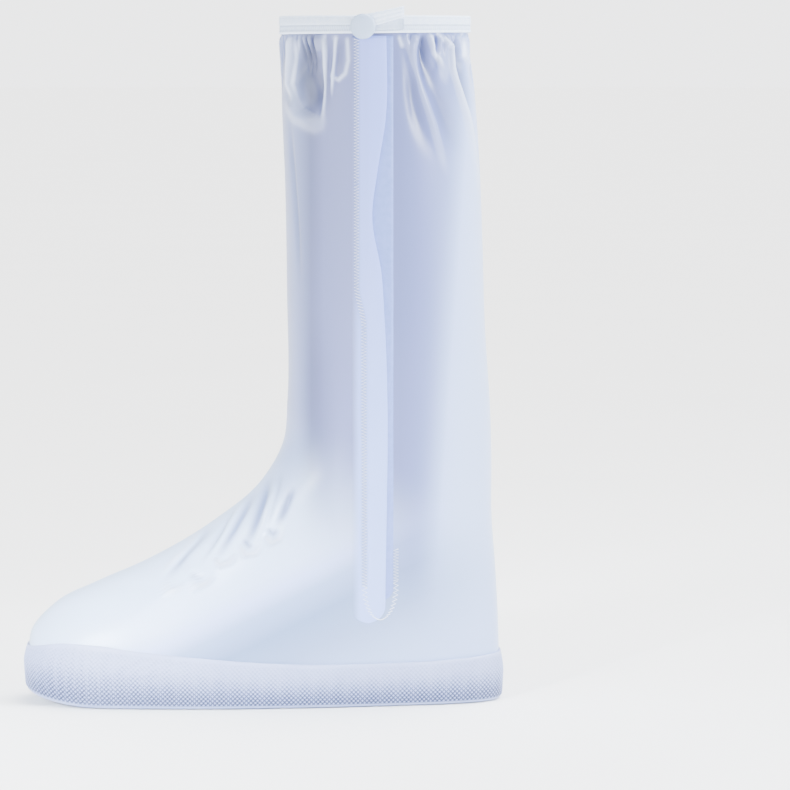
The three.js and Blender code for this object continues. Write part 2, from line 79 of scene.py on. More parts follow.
# The outer skin from the sole up: ends as shares of LENGTH and SKIN_TOP, half widths as shares
# of WIDTH, then where the ring is widest and how blunt its ends are
COLUMNS = ("frontX", "frontZ", "backX", "backZ", "fore", "rear", "widest", "nose", "tail")
STATIONS = [
    (-0.4905, 0.0102, 0.4905, 0.0102, 0.473, 0.385, 0.36, 2.4, 2.9),
    (-0.4925, 0.060, 0.4925, 0.060, 0.475, 0.390, 0.36, 2.4, 2.9),
    (-0.4860, 0.099, 0.4915, 0.099, 0.460, 0.398, 0.37, 2.3, 2.8),
    (-0.4340, 0.143, 0.4885, 0.147, 0.425, 0.412, 0.38, 2.2, 2.6),
    (-0.3475, 0.173, 0.4835, 0.204, 0.400, 0.432, 0.40, 2.1, 2.5),
    (-0.2485, 0.203, 0.4770, 0.264, 0.395, 0.458, 0.42, 2.0, 2.4),
    (-0.1050, 0.262, 0.4760, 0.360, 0.435, 0.500, 0.45, 2.0, 2.2),
    (-0.0040, 0.322, 0.4725, 0.437, 0.485, 0.523, 0.48, 2.0, 2.1),
    (0.0425, 0.381, 0.4670, 0.493, 0.520, 0.536, 0.50, 2.0, 2.0),
    (0.0508, 0.441, 0.4625, 0.542, 0.540, 0.543, 0.50, 2.0, 2.0),
    (0.0505, 0.600, 0.4567, 0.668, 0.545, 0.545, 0.50, 2.0, 2.0),
    (0.0470, 0.760, 0.4490, 0.800, 0.545, 0.545, 0.50, 2.0, 2.0),
    (0.0405, 0.885, 0.4385, 0.900, 0.535, 0.535, 0.50, 2.0, 2.0),
    (0.0400, 0.977, 0.4270, 0.977, 0.525, 0.525, 0.50, 2.0, 2.0),
    (0.0400, 1.000, 0.4270, 1.000, 0.525, 0.525, 0.50, 2.0, 2.0),
]
BAND_BACK = STATIONS[-1][2]
# From the widest place backwards the half width changes over this share of the way
WIDTH_BLEND = 0.8

# Height of the tray's wall: share of LENGTH from the middle, share of HEIGHT
WALL_TOPS = [
    (-0.500, 0.068),
    (-0.430, 0.088),
    (-0.360, 0.090),
    (-0.260, 0.082),
    (-0.100, 0.071),
    (0.060, 0.063),
    (0.260, 0.062),
    (0.430, 0.066),
    (0.500, 0.070),
]

# Zip side: edges as shares of LENGTH from the middle, ends as heights
FLAP_LEFT = 0.1835
ZIP_LEFT = 0.2220
ZIP_RIGHT = 0.2725
FLAP_TOP = BAND_FOOT - 1
FLAP_BOTTOM = 52.0
ZIP_BOTTOM = 66.0

# The flap's free edge: share of HEIGHT, share of LENGTH
FLAP_EDGE = [
    (0.100, 0.2545),
    (0.560, 0.2545),
    (0.630, 0.2480),
    (0.715, 0.2290),
    (0.780, 0.2400),
    (0.850, 0.2555),
    (0.980, 0.2570),
]

# The flap's profile: sunk at its weld, then raised, and raised more over the zip and where it is free
FLAP_SHEET = 0.6
FLAP_SUNK = 0.25
FLAP_RISE = 0.85
ZIP_RISE = 0.35
FREE_RISE = 0.75
FREE_SPAN = (0.50, 0.66)
WELD_SPAN = (0.5, 3.5)
ZIP_SPAN = (5.0, 1.0)
FLAP_BASE = 0.1
FLAP_CORNER = 0.3
FLAP_CORNER_POWER = 12
STRIP_FOOT_LEAST = 0.12

# The zip's profile: a flat strip with a cord along it, from the middle (0) to the right edge (1)
ZIP_LIFT = 0.25
ZIP_SUNK = 0.3
ZIP_CORNER = 0.4
ZIP_CORNER_POWER = 10
CORD_AT = 0.78
CORD_WIDE = 0.12
CORD_RISE = 0.35

# The tab and the button: places as shares of LENGTH, and heights
TAB_HINGE = 0.198
TAB_END = 0.290
LEAF_FOOT = BAND_LOW + 0.4
LEAF_HEAD = HEIGHT - 0.6
LEAF_END_FOOT = BAND_LOW + 1.6
LEAF_END_HEAD = HEIGHT - 2.4
RISEN_FOOT = HEIGHT - 1.2
RISEN_HEAD = HEIGHT + 5.6
BUTTON_X = 0.212
BUTTON_Z = BAND_LOW + 3.4
TAB_RIBS = 6
TAB_RIB_DEEP = 0.06
TAB_CORNER = 0.3
TAB_CORNER_POWER = 6
# The button's profile: share of its radius, share of its height
BUTTON_PROFILE = [
    (0.90, 0.0),
    (0.96, 0.05),
    (0.99, 0.14),
    (1.0, 0.26),
    (0.99, 0.38),
    (0.965, 0.48),
    (0.92, 0.58),
    (0.85, 0.68),
    (0.75, 0.78),
    (0.62, 0.865),
    (0.48, 0.925),
    (0.34, 0.965),
    (0.2, 0.99),
    (0.08, 1.0),
]

# Folds of the skin: how far they spread and stand out (shares of WIDTH), whether they fade at
# their start too, and their run as (share of LENGTH, share of HEIGHT)
ZIP_SIDE_FOLDS = [
    (0.064, -0.044, True, [(0.102, 0.972), (0.099, 0.925), (0.112, 0.884), (0.118, 0.850)]),
    (0.015, 0.016, False, [(0.061, 0.966), (0.055, 0.902), (0.075, 0.868), (0.100, 0.856)]),
    (0.040, 0.032, True, [(0.050, 0.884), (0.078, 0.858), (0.112, 0.846), (0.140, 0.846)]),
    (0.014, 0.012, False, [(0.077, 0.962), (0.065, 0.902), (0.078, 0.876), (0.090, 0.870)]),
    (0.012, -0.012, True, [(0.058, 0.862), (0.063, 0.795), (0.075, 0.680), (0.081, 0.593)]),
    (0.013, 0.018, False, [(0.132, 0.970), (0.132, 0.900), (0.126, 0.830)]),
    (0.012, 0.015, False, [(0.155, 0.968), (0.147, 0.908), (0.144, 0.870)]),
    (0.030, -0.026, True, [(0.168, 0.972), (0.168, 0.930), (0.164, 0.912)]),
    (0.013, 0.020, False, [(0.178, 0.965), (0.180, 0.936), (0.174, 0.917), (0.160, 0.908),
                           (0.146, 0.914), (0.138, 0.930)]),
    (0.012, 0.014, False, [(0.284, 0.968), (0.292, 0.950)]),
    (0.045, -0.017, False, [(0.288, 0.958), (0.300, 0.915), (0.320, 0.860), (0.350, 0.790)]),
    (0.022, 0.018, False, [(0.300, 0.972), (0.313, 0.935), (0.330, 0.890), (0.352, 0.845),
                           (0.386, 0.760)]),
    (0.045, -0.016, False, [(0.336, 0.950), (0.352, 0.905), (0.380, 0.850), (0.405, 0.790)]),
    (0.013, 0.022, False, [(0.347, 0.972), (0.355, 0.946), (0.378, 0.918)]),
    (0.014, 0.034, False, [(0.363, 0.974), (0.388, 0.955), (0.392, 0.925), (0.420, 0.862),
                           (0.444, 0.780), (0.452, 0.720)]),
    (0.030, -0.028, False, [(0.402, 0.955), (0.418, 0.900), (0.440, 0.840)]),
    (0.012, 0.020, False, [(0.412, 0.972), (0.418, 0.940), (0.428, 0.920)]),
    (0.070, -0.011, True, [(0.108, 0.600), (0.116, 0.420), (0.128, 0.290), (0.160, 0.215)]),
    (0.024, -0.022, True, [(0.018, 0.340), (-0.021, 0.256), (-0.046, 0.222)]),
    (0.017, 0.016, True, [(0.036, 0.332), (0.000, 0.262), (-0.030, 0.222)]),
    (0.014, -0.014, True, [(0.044, 0.344), (0.014, 0.280), (-0.004, 0.244)]),
    (0.024, -0.022, True, [(-0.006, 0.328), (-0.060, 0.260), (-0.104, 0.206)]),
    (0.017, 0.014, True, [(-0.020, 0.322), (-0.078, 0.250), (-0.118, 0.204)]),
    (0.013, -0.012, True, [(-0.044, 0.302), (-0.092, 0.246), (-0.132, 0.202)]),
    (0.020, -0.022, True, [(0.066, 0.326), (0.046, 0.288), (0.030, 0.258)]),
    (0.024, -0.022, True, [(-0.098, 0.266), (-0.160, 0.224), (-0.206, 0.180)]),
    (0.015, 0.013, True, [(-0.118, 0.258), (-0.176, 0.216), (-0.220, 0.182)]),
    (0.015, 0.026, True, [(0.004, 0.254), (0.020, 0.240), (0.036, 0.246), (0.046, 0.264)]),
    (0.013, -0.014, True, [(0.010, 0.262), (0.022, 0.252), (0.036, 0.260)]),
    (0.015, 0.026, True, [(-0.050, 0.238), (-0.034, 0.222), (-0.014, 0.224), (0.002, 0.240)]),
    (0.013, -0.014, True, [(-0.042, 0.246), (-0.028, 0.234), (-0.012, 0.238)]),
    (0.015, 0.024, True, [(-0.102, 0.220), (-0.086, 0.206), (-0.066, 0.210), (-0.052, 0.226)]),
    (0.015, 0.022, True, [(-0.150, 0.188), (-0.134, 0.175), (-0.114, 0.180), (-0.100, 0.196)]),
    (0.012, -0.012, True, [(-0.150, 0.198), (-0.134, 0.187), (-0.116, 0.192)]),
    (0.014, 0.020, True, [(-0.208, 0.184), (-0.194, 0.168), (-0.172, 0.170), (-0.158, 0.184)]),
]
FAR_SIDE_FOLDS = [
    (0.050, -0.026, False, [(0.120, 0.960), (0.105, 0.900), (0.080, 0.800)]),
    (0.045, -0.024, False, [(0.300, 0.960), (0.260, 0.820), (0.180, 0.620)]),
    (0.024, 0.022, False, [(0.270, 0.960), (0.230, 0.820), (0.150, 0.640)]),
    (0.050, 0.020, True, [(0.390, 0.860), (0.300, 0.680), (0.200, 0.480)]),
    (0.050, -0.020, True, [(0.420, 0.740), (0.330, 0.560), (0.230, 0.390)]),
    (0.040, 0.018, True, [(0.400, 0.600), (0.280, 0.430), (0.150, 0.300)]),
    (0.024, -0.018, True, [(0.010, 0.306), (-0.040, 0.250), (-0.080, 0.215)]),
    (0.024, -0.014, True, [(-0.060, 0.285), (-0.110, 0.235), (-0.150, 0.205)]),
]
# The side is the sign of y: the zip is at negative y
FOLDS = [(-1, fold) for fold in ZIP_SIDE_FOLDS] + [(1, fold) for fold in FAR_SIDE_FOLDS]
FOLD_ENTRY = 0.3
FOLD_TAPER = 0.55
FOLD_START = 8.0

# Room beside the flap and the zip, and beside the front and back silhouettes, over which folds fade
STRIP_MARGIN = 9.0
STRIP_SMOOTH = STRIP_MARGIN * 0.3
EDGE_MARGIN = 30.0

# Broad gathers below the band
GATHERS = 13
GATHER_DEEP = 1.1
GATHER_LEAN = 0.35
GATHER_REACH = 42.0
GATHER_START = 5.0
GATHER_HOLD = GATHER_REACH * 0.4

# Fine gathers below the band, and how unevenly they stand: how far, waves in a turn, shift
FINE_GATHERS = 54
FINE_DEEP = 2.4
FINE_START = 2.0
FINE_REACH = 16.0
FINE_REACH_SWING = 1.6
FINE_AT_EDGES = 0.4
WANDER = [(0.35, 7, 0.3), (0.25, 11, 0.7)]
UNEVEN = 0.3
UNEVEN_WAVES = 9
UNEVEN_SHIFT = 0.15

# The welded seam down the front and the back
WELD_DEEP = 0.35
WELD_HALF = 2.4

# How steeply a mound falls off: as a round ridge or as a flat-topped bead
ROUND = 2
FLAT = 4

# The sole's rounded lower edge, as shares of EDGE_ROUND inwards and up
SOLE_CORNER = [(1.0, 0.0), (0.62, 0.08), (0.36, 0.23)]
# The rim and the inside of the sole: lift as shares of TRAY_GAP and TRAY_RIM, height as a share
# of the wall's, and a rise as a share of TRAY_RIM
SOLE_RIM = [
    (1.0, 0.85, 1.0, 0.35),
    (1.0, 0.5, 1.0, 0.5),
    (0.0, 0.12, 1.0, 0.35),
    (-0.5, 0.0, 1.0, 0.0),
    (1.0, 0.0, 0.5, 0.0),
    (1.0, 0.0, 0.0, 0.0),
]
RIM_FROM = 0.55
PLAN_HEIGHT = PLATE * 3
WALL_SWELL = 0.35

# The lozenge pattern of the sole's wall, and its grooves, in painted shade, which narrow and grow paler
# upwards
PATTERN_START = 1.3
PATTERN_PITCH = 2.75
PATTERN_DEEP = 0.9
PATTERN_MIDDLE = 0.6
PATTERN_IN = 0.05
PATTERN_OUT = (0.93, 0.99)
GROOVE_WIDE = 0.42
GROOVE_SOFT = 0.55
GROOVE_NARROWS = 0.8
GROOVE_PALES = 0.8
GROOVE_PALES_FROM = 0.15

# The band's profile from its foot up the outside, over the top, down the inside and round the
# wall that it binds: lift, height as a share of the band's, how strongly it is ribbed, and shade,
# which is painted shade at the foot and in the middle groove, painted highlight on the rolled
# lower edge and along the top, darker over the lower half and lighter over the upper
BAND_INSIDE = -SHELL - GAP
BAND_FACE = BAND_INSIDE - BAND_INNER
BAND_ROOF = 1 - BAND_TOP / BAND_TALL
BAND_PROFILE = [
    (GAP, 0.0, 0.0, 0.2),
    (BAND_LIFT - 0.5, -0.01, 0.0, 0.9),
    (BAND_LIFT + 0.10, 0.03, 0.0, 1.0),
    (BAND_LIFT + 0.20, 0.10, 0.2, 1.0),
    (BAND_LIFT - 0.25, 0.16, 1.0, 0.3),
    (BAND_LIFT - 0.28, 0.22, 1.0, 0.4),
    (BAND_LIFT - 0.28, 0.30, 1.0, 0.5),
    (BAND_LIFT - 0.28, 0.38, 1.0, 0.4),
    (BAND_LIFT - 0.35, 0.44, 0.0, 0.2),
    (BAND_LIFT - 0.02, 0.50, 0.0, 0.8),
    (BAND_LIFT + 0.05, 0.60, 0.4, 0.7),
    (BAND_LIFT + 0.05, 0.80, 0.4, 0.7),
    (BAND_LIFT - 0.05, 0.86, 0.2, 0.5),
    (BAND_LIFT + 0.02, 0.93, 0.0, 1.0),
    (BAND_LIFT - 0.50, 1.0, 0.0, 1.0),
    (BAND_FACE + 0.5, 1.0, 0.0, 0.8),
    (BAND_FACE, 0.93, 0.0, 0.6),
    (BAND_FACE, 0.5, 0.3, 0.5),
    (BAND_FACE, 0.0, 0.0, 0.5),
    (BAND_INSIDE, 0.0, 0.0, 0.5),
    (BAND_INSIDE, BAND_ROOF, 0.0, 0.5),
    (GAP, BAND_ROOF, 0.0, 0.5),
]
BAND_RIBS = 180
BAND_RIB_DEEP = 0.10
BAND_STITCHES = 240
STITCHED_UP_TO = 0.5
STITCHED_RIBS = 1.0
STITCH_LEAN = 2
STITCH_SHADE = 0.35

# The zigzag down the flap, and the one round the zip's foot
STITCH_X = 0.1970
STITCH_SHIFT = 4.4
STITCH_SHIFT_SPAN = (0.615, 0.555)
STITCH_STEP = 0.95
STITCH_WIDE = 3.0
STITCH_THICK = 0.27
STITCH_TOP = FLAP_TOP - 2
STITCH_LOW = 74.0
STITCH_LIFT = 0.2
STITCH_SUNK = 0.3
SUNK_HALF = STITCH_WIDE * 0.75
GUSSET_RIGHT = 0.2770
GUSSET_DEEP = 20.0
GUSSET_PAST = 0.2
GUSSET_TURNS = 46
GUSSET_STEPS = 22
GUSSET_LIFT = 0.08

# Painted shade and highlight: 0 is a hollow in painted shade, 0.5 is plain, 1 a painted-highlight crest
PLAIN = 0.5
SHADE_DEPTH = 5.0
# Broad ridges take a little painted highlight, and the crests of thin ridges more
PLAIN_RIDGE = 0.10
CREST_SHARE = 0.34
CREST_POWER = 1.5
THIN_RIDGE = 0.016
# The wall's inner side is mixed partway towards the painted highlight colour, so it looks paler
INNER_SHADE = 0.8
# Painted shade along the flap's sunk seam
SEAM_SHADE = 0.32
SEAM_HALF = STITCH_WIDE * 0.6
# Painted shadow on the tab's folded-under leaf, and painted light in bands over its risen leaf
TAB_UNDER = 0.15
TAB_UNDER_RISE = 0.25
TAB_END_SHARE = 0.12
TAB_SHADE = 0.78
TAB_SHADE_SWING = 0.18
TAB_SHADE_BANDS = 3

# How finely the pieces are divided
AROUND = 400
UP = 218
INNER_STEP = 8
TABLE_UP = 420
TABLE_AROUND = 720
OUTLINE_STEPS = 300
RING_TABLE = 2000
SEARCH_STEPS = 26
SPOT_ROUNDS = 5
ZIP_SIDE_TURN = 0.25
ZIP_SIDE_FINER = 0.42
BAND_FINER = 1.9
BAND_FINER_SPAN = (0.76, 0.88)
ANKLE_FINER = 1.8
ANKLE_FINER_FROM = (0.18, 0.26)
ANKLE_FINER_TO = (0.40, 0.48)
SOLE_COLUMNS = 1040
SOLE_ROWS = 66
BAND_COLUMNS = 1440
TAB_ROWS = 40
TAB_STEPS = 14
BUTTON_COLUMNS = 72
FLAP_COLUMNS = 41
ZIP_COLUMNS = 13
STRIP_ROWS = 160
STRIP_END_ROWS = 10
THREAD_SIDES = 6

# Directions, and where the tints begin and end along them in millimetres
ACROSS = (1.0, 0.0, 0.0)
UPWARD = (0.0, 0.0, 1.0)
SLANTED = (0.6, 0.0, 1.0)
LEANING = (1.0, 0.0, -0.07)
SINKING = (1.0, 0.0, -2.0)
SHAFT_SPAN = (8, 142)
SHAFT_FROM = (95, 205)
EDGE_SPAN = (80, 118)
EDGE_FROM = (72, 116)
FOOT_SPAN = (-240, 60)
FLAP_SPAN = (40, HEIGHT)
FLAP_BLEND = 7

# Colours, each with its place from 0 to 1
# The film's blue tint across the shaft, with painted shade in its darker bands and lighter near the
# front edge
SHAFT_TINT_AND_PAINTED_SHADE = [
    (0.0, (0.16, 0.21, 0.44)),
    (0.023, (0.18, 0.23, 0.44)),
    (0.075, (0.10, 0.12, 0.255)),
    (0.13, (0.14, 0.165, 0.36)),
    (0.30, (0.15, 0.175, 0.385)),
    (0.607, (0.115, 0.145, 0.35)),
    (0.794, (0.125, 0.16, 0.41)),
    (1.0, (0.16, 0.21, 0.46)),
]
# Painted light over the back of the shaft, lightest near its edge
BACK_EDGE_PAINTED_LIGHT = [
    (0.0, (0.18, 0.24, 0.52)),
    (0.6, (0.45, 0.60, 1.0)),
    (1.0, (0.40, 0.53, 0.85)),
]
# The foot's tint, pale over the toe and instep, with painted shadow in the darker stretch low under the
# arch
FOOT_TINT_AND_PAINTED_SHADOW = [
    (0.0, (0.56, 0.72, 1.0)),
    (0.18, (0.54, 0.68, 1.0)),
    (0.27, (0.46, 0.57, 0.96)),
    (0.37, (0.27, 0.37, 0.66)),
    (0.54, (0.18, 0.265, 0.48)),
    (0.75, (0.23, 0.32, 0.56)),
    (1.0, (0.36, 0.48, 0.80)),
]
FLAP_COLOURS = [(0.0, (0.33, 0.46, 0.95)), (1.0, (0.27, 0.36, 0.90))]
# The colour that the crests are mixed towards for their painted highlights
PAINTED_HIGHLIGHT_COLOURS = [(0.3, (0.60, 0.68, 0.90)), (0.7, (0.66, 0.74, 0.96))]
SOLE_COLOURS = [(0.3, (0.39, 0.44, 0.65)), (0.7, (0.43, 0.48, 0.69))]
ELASTIC_COLOURS = [(0.3, (0.67, 0.77, 0.97)), (0.7, (0.79, 0.88, 1.0))]
BUTTON_COLOURS = [(0.3, (0.34, 0.44, 0.62)), (0.7, (0.37, 0.47, 0.65))]
ZIP_COLOURS = [(0.3, (0.14, 0.21, 0.53)), (0.7, (0.17, 0.24, 0.59))]
THREAD_COLOURS = [(0.3, (0.82, 0.87, 0.97)), (0.7, (0.92, 0.95, 0.99))]
FLOOR_COLOURS = [(0.3, (0.93, 0.93, 0.93)), (0.7, (0.95, 0.95, 0.95))]
# How far each shade value is mixed towards the painted highlight colour
PAINTED_HIGHLIGHT_SHARES = [(PLAIN, (0.0, 0.0, 0.0)), (1.0, (1.0, 1.0, 1.0))]

# Painted shade and highlight: tints of the hollows, the plain stretches and the crests
SHAFT_PAINTED_SHADE = ((0.52, 0.54, 0.58), (1.0, 1.0, 1.0), (1.0, 1.0, 1.0))
FOOT_PAINTED_SHADE = ((0.28, 0.30, 0.46), (1.0, 1.0, 1.0), (1.0, 1.0, 1.0))
SOLE_GROOVE_PAINTED_SHADE = ((0.05, 0.07, 0.13), (0.31, 0.35, 0.48), (0.84, 0.88, 0.98))
ELASTIC_PAINTED_SHADE_AND_HIGHLIGHT = ((0.24, 0.27, 0.35), (0.74, 0.77, 0.82), (1.0, 1.0, 1.0))

# The frosted film: grain as its scale, strength and depth in metres
FILM_GRAIN = (900, 0.05, 0.0005)
SPECK_SCALE = 60
SPECK_DETAIL = 3.0
SHELL_VALUES = {
    "Roughness": 0.36,
    "Coat Weight": 0.2,
    "Coat Roughness": 0.24,
    "Transmission Weight": 0.12,
}
FLAP_VALUES = {"Roughness": 0.45, "Transmission Weight": 0.15}

# The plain materials: speck scale, colours, tints of painted shade and highlight, grain, roughness
PLAIN_LOOKS = {
    "sole_pvc": (SPECK_SCALE, SOLE_COLOURS, SOLE_GROOVE_PAINTED_SHADE, (1200, 0.05, 0.0004), 0.38),
    "elastic": (500, ELASTIC_COLOURS, ELASTIC_PAINTED_SHADE_AND_HIGHLIGHT, (2200, 0.25, 0.0004), 0.85),
    "button_plastic": (80, BUTTON_COLOURS, None, None, 0.3),
    "zip_tape": (300, ZIP_COLOURS, None, (1500, 0.2, 0.0004), 0.6),
    "thread": (900, THREAD_COLOURS, None, None, 0.7),
    "floor": (3, FLOOR_COLOURS, None, None, 0.9),
}

# The stage, in metres apart from the floor's half side
FLOOR_HALF = 60000.0
FLOOR_DROP = 0.0003
SKY_COLOUR = (0.97, 0.98, 1.0, 1.0)
HORIZON_TOP = 0.02
SKY_START = 0.15
HORIZON_STRENGTH = 3.7
SKY_STRENGTH = 1.0
SUN_SPOT = (0.35, 0.15, 1.0)
SUN_POWER = 9.6
SUN_ANGLE = math.radians(50)
LIGHT_COLOUR = (0.86, 0.93, 1.0)
MIDDLE = (0.03, 0.0, 0.2)
TOE = (-0.08, 0.0, 0.04)
# Lamps: name, place, aim, size, spread in degrees, power
LIGHTS = [
    ("key", (1.5, -0.8, 0.9), MIDDLE, 0.6, 180, 72.0),
    ("strip", (-1.5, -1.0, 0.9), MIDDLE, 1.2, 180, 34.0),
    ("low", (-0.6, -1.1, 0.45), TOE, 0.35, 24, 1.9),
]

# The camera: sensor in millimetres, focal length and lowered aim in pixels, place in metres
SENSOR = 36.0
FRAME_PX = 790.0
CAMERA_FOCAL_PX = 4032.0
CAMERA_DROP_PX = 340.0
CAMERA_X = 0.0817
CAMERA_FAR = 2.5
CAMERA_HIGH = 0.4
CAMERA_CLIP = 50.0


def smooth(low, high, value):
    t = np.clip((value - low) / (high - low), 0.0, 1.0)
    return t * t * (3 - 2 * t)


def mound(value, half, power):
    """1 at 0 and falling off on both sides, steeper with a higher power."""
    return np.exp(-((value / half) ** power))


def curve(keys, values, at):
    """A smooth curve through a table's values, read at many keys at once."""
    keys = np.asarray(keys, float)
    values = np.asarray(values, float)
    step = np.diff(keys)
    slope = np.diff(values) / step
    tangent = np.empty_like(values)
    tangent[0] = slope[0]
    tangent[-1] = slope[-1]
    tangent[1:-1] = (slope[:-1] * step[1:] + slope[1:] * step[:-1]) / (step[1:] + step[:-1])
    i = np.clip(np.searchsorted(keys, at) - 1, 0, len(keys) - 2)
    t = np.clip((at - keys[i]) / step[i], 0.0, 1.0)
    t2 = t * t
    t3 = t2 * t
    return ((2 * t3 - 3 * t2 + 1) * values[i] + (t3 - 2 * t2 + t) * step[i] * tangent[i]
            + (3 * t2 - 2 * t3) * values[i + 1] + (t3 - t2) * step[i] * tangent[i + 1])


def halved(low, high, is_over):
    """The place between low and high from which is_over holds, for arrays of places."""
    for _ in range(SEARCH_STEPS):
        middle = (low + high) / 2
        over = is_over(middle)
        high = np.where(over, middle, high)
        low = np.where(over, low, middle)
    return (low + high) / 2


def toe_inset(x):
    return TOE_INSET * smooth(INSET_FROM, TOE_TIP, x / LENGTH)


class Skin:
    """The smooth outer skin. u runs once round from the front by the zip side, v from the sole up."""

    def __init__(self):
        table = np.array(STATIONS)
        front = table[:, 0] * LENGTH
        front_z = table[:, 1] * SKIN_TOP
        keys = np.concatenate([[0.0], np.cumsum(np.hypot(np.diff(front), np.diff(front_z)))])
        keys /= keys[-1]
        v = np.linspace(0, 1, TABLE_UP)
        row = {name: curve(keys, table[:, i], v) for i, name in enumerate(COLUMNS)}
        self.grid = np.stack([
            self.ring({name: values[k] for name, values in row.items()}) for k in range(TABLE_UP)
        ])
        around = np.roll(self.grid, -1, 1) - np.roll(self.grid, 1, 1)
        up = np.gradient(self.grid, axis=0)
        normal = np.cross(around, up)
        self.normal = normal / np.linalg.norm(normal, axis=2, keepdims=True)

    def ring(self, row):
        """One ring of evenly spaced points, from a row of the stations' columns."""
        share = (1 - np.cos(np.linspace(0, math.pi, OUTLINE_STEPS))) / 2
        before = share < row["widest"]
        away = np.where(before, (row["widest"] - share) / row["widest"],
                        (share - row["widest"]) / (1 - row["widest"]))
        power = np.where(before, row["nose"], row["tail"])
        fore = row["fore"] * WIDTH
        rear = row["rear"] * WIDTH
        half = np.where(before, fore, fore + (rear - fore) * smooth(0, WIDTH_BLEND, away))
        y = half * np.maximum(0, 1 - away**power) ** (1 / power)
        x = LENGTH * (row["frontX"] + (row["backX"] - row["frontX"]) * share)
        z = SKIN_TOP * (row["frontZ"] + (row["backZ"] - row["frontZ"]) * share)
        run = np.concatenate([[0.0], np.cumsum(np.hypot(np.diff(x), np.diff(y)))])
        goal = np.linspace(0, 1, TABLE_AROUND // 2 + 1) * run[-1]
        xs, ys, zs = (np.interp(goal, run, c) for c in (x, y, z))
        near = np.stack([xs, -ys - toe_inset(xs), zs], 1)
        far = np.stack([xs, ys - toe_inset(xs), zs], 1)
        return np.concatenate([near[:-1], far[:0:-1]])

    def read(self, field, u, v):
        """A field of the table between its four nearest entries."""
        rows = np.clip(np.asarray(v, float), 0, 1) * (TABLE_UP - 1)
        columns = (np.asarray(u, float) % 1.0) * TABLE_AROUND
        i = np.clip(rows.astype(int), 0, TABLE_UP - 2)
        j = columns.astype(int) % TABLE_AROUND
        fi = (rows - i)[..., None]
        fj = (columns - columns.astype(int))[..., None]
        k = (j + 1) % TABLE_AROUND
        low = field[i, j] * (1 - fj) + field[i, k] * fj
        high = field[i + 1, j] * (1 - fj) + field[i + 1, k] * fj
        return low * (1 - fi) + high * fi

    def at(self, u, v, lift=0.0, folds=None):
        """Points at a lift off the skin, with the folds where they are given."""
        u, v = np.broadcast_arrays(np.asarray(u, float), np.asarray(v, float))
        point = self.read(self.grid, u, v)
        normal = self.read(self.normal, u, v)
        normal /= np.linalg.norm(normal, axis=-1, keepdims=True)
        move = np.broadcast_to(np.asarray(lift, float), u.shape)
        if folds is not None:
            move = move + folds(u, point)
        return point + normal * move[..., None]

    def upright(self, u, lift, z):
        """Points off the top ring, brought to the heights z."""
        point = self.at(u, np.ones_like(np.asarray(u, float)), lift)
        point[..., 2] = z
        return point

    def climb(self, u, z):
        """The ring at which the skin reaches a height, for arrays of turns and heights."""
        u, z = np.broadcast_arrays(np.asarray(u, float), np.asarray(z, float))
        return halved(np.zeros(u.shape), np.ones(u.shape),
                      lambda v: self.read(self.grid, u, v)[..., 2] > z)

    def turn(self, x, v):
        """The turn at which a ring reaches an x on the zip side."""
        x, v = np.broadcast_arrays(np.asarray(x, float), np.asarray(v, float))
        return halved(np.zeros(x.shape), np.full(x.shape, 0.5),
                      lambda u: self.read(self.grid, u, v)[..., 0] > x)

    def spot(self, x, z):
        """The turn and the ring of places on the zip side."""
        u = np.full(np.broadcast(x, z).shape, ZIP_SIDE_TURN)
        v = self.climb(u, z)
        for _ in range(SPOT_ROUNDS):
            u = self.turn(x, v)
            v = self.climb(u, z)
        return u, v


SKIN = Skin()


def fold_height(x, z, fold):
    """One fold: a soft ridge or hollow along a bent run in the side view."""
    spread, deep, fades_in, run = fold
    points = np.array(run) * [LENGTH, HEIGHT]
    lengths = np.linalg.norm(np.diff(points, axis=0), axis=1)
    starts = np.concatenate([[0.0], np.cumsum(lengths)])
    far = np.full(x.shape, np.inf)
    passed = np.zeros(x.shape)
    for a, b, start, length in zip(points[:-1], points[1:], starts[:-1], lengths):
        d = (b - a) / length
        t = np.clip((x - a[0]) * d[0] + (z - a[1]) * d[1], 0, length)
        away = np.hypot(x - a[0] - t * d[0], z - a[1] - t * d[1])
        passed = np.where(away < far, start + t, passed)
        far = np.minimum(far, away)
    share = passed / starts[-1]
    taper = 1 - smooth(FOLD_TAPER, 1.0, share)
    if fades_in:
        taper = taper * smooth(0.0, FOLD_ENTRY, share)
    return deep * WIDTH * mound(far, spread * WIDTH, ROUND) * taper


def gathers(u, y, drop):
    """Broad and fine gathers at a drop below the band."""
    lean = GATHER_LEAN * drop / GATHER_REACH
    fade = smooth(0, GATHER_START, drop) * (1 - smooth(GATHER_HOLD, GATHER_REACH, drop))
    broad = GATHER_DEEP * fade * np.cos(TAU * (u * GATHERS + lean))
    wander = sum(far * np.sin(TAU * (u * waves + shift)) for far, waves, shift in WANDER)
    puff = np.abs(np.sin(math.pi * (u * FINE_GATHERS + wander + lean))) - 0.5
    uneven = 1 - UNEVEN + UNEVEN * np.sin(TAU * (u * UNEVEN_WAVES + UNEVEN_SHIFT))
    reach = 1 - smooth(FINE_START, FINE_REACH, drop * (FINE_REACH_SWING - uneven))
    near_band = smooth(0, FINE_START, drop) * reach
    off_edge = FINE_AT_EDGES + (1 - FINE_AT_EDGES) * smooth(0, EDGE_MARGIN, np.abs(y))
    return broad + FINE_DEEP * 2 * uneven * off_edge * near_band * puff


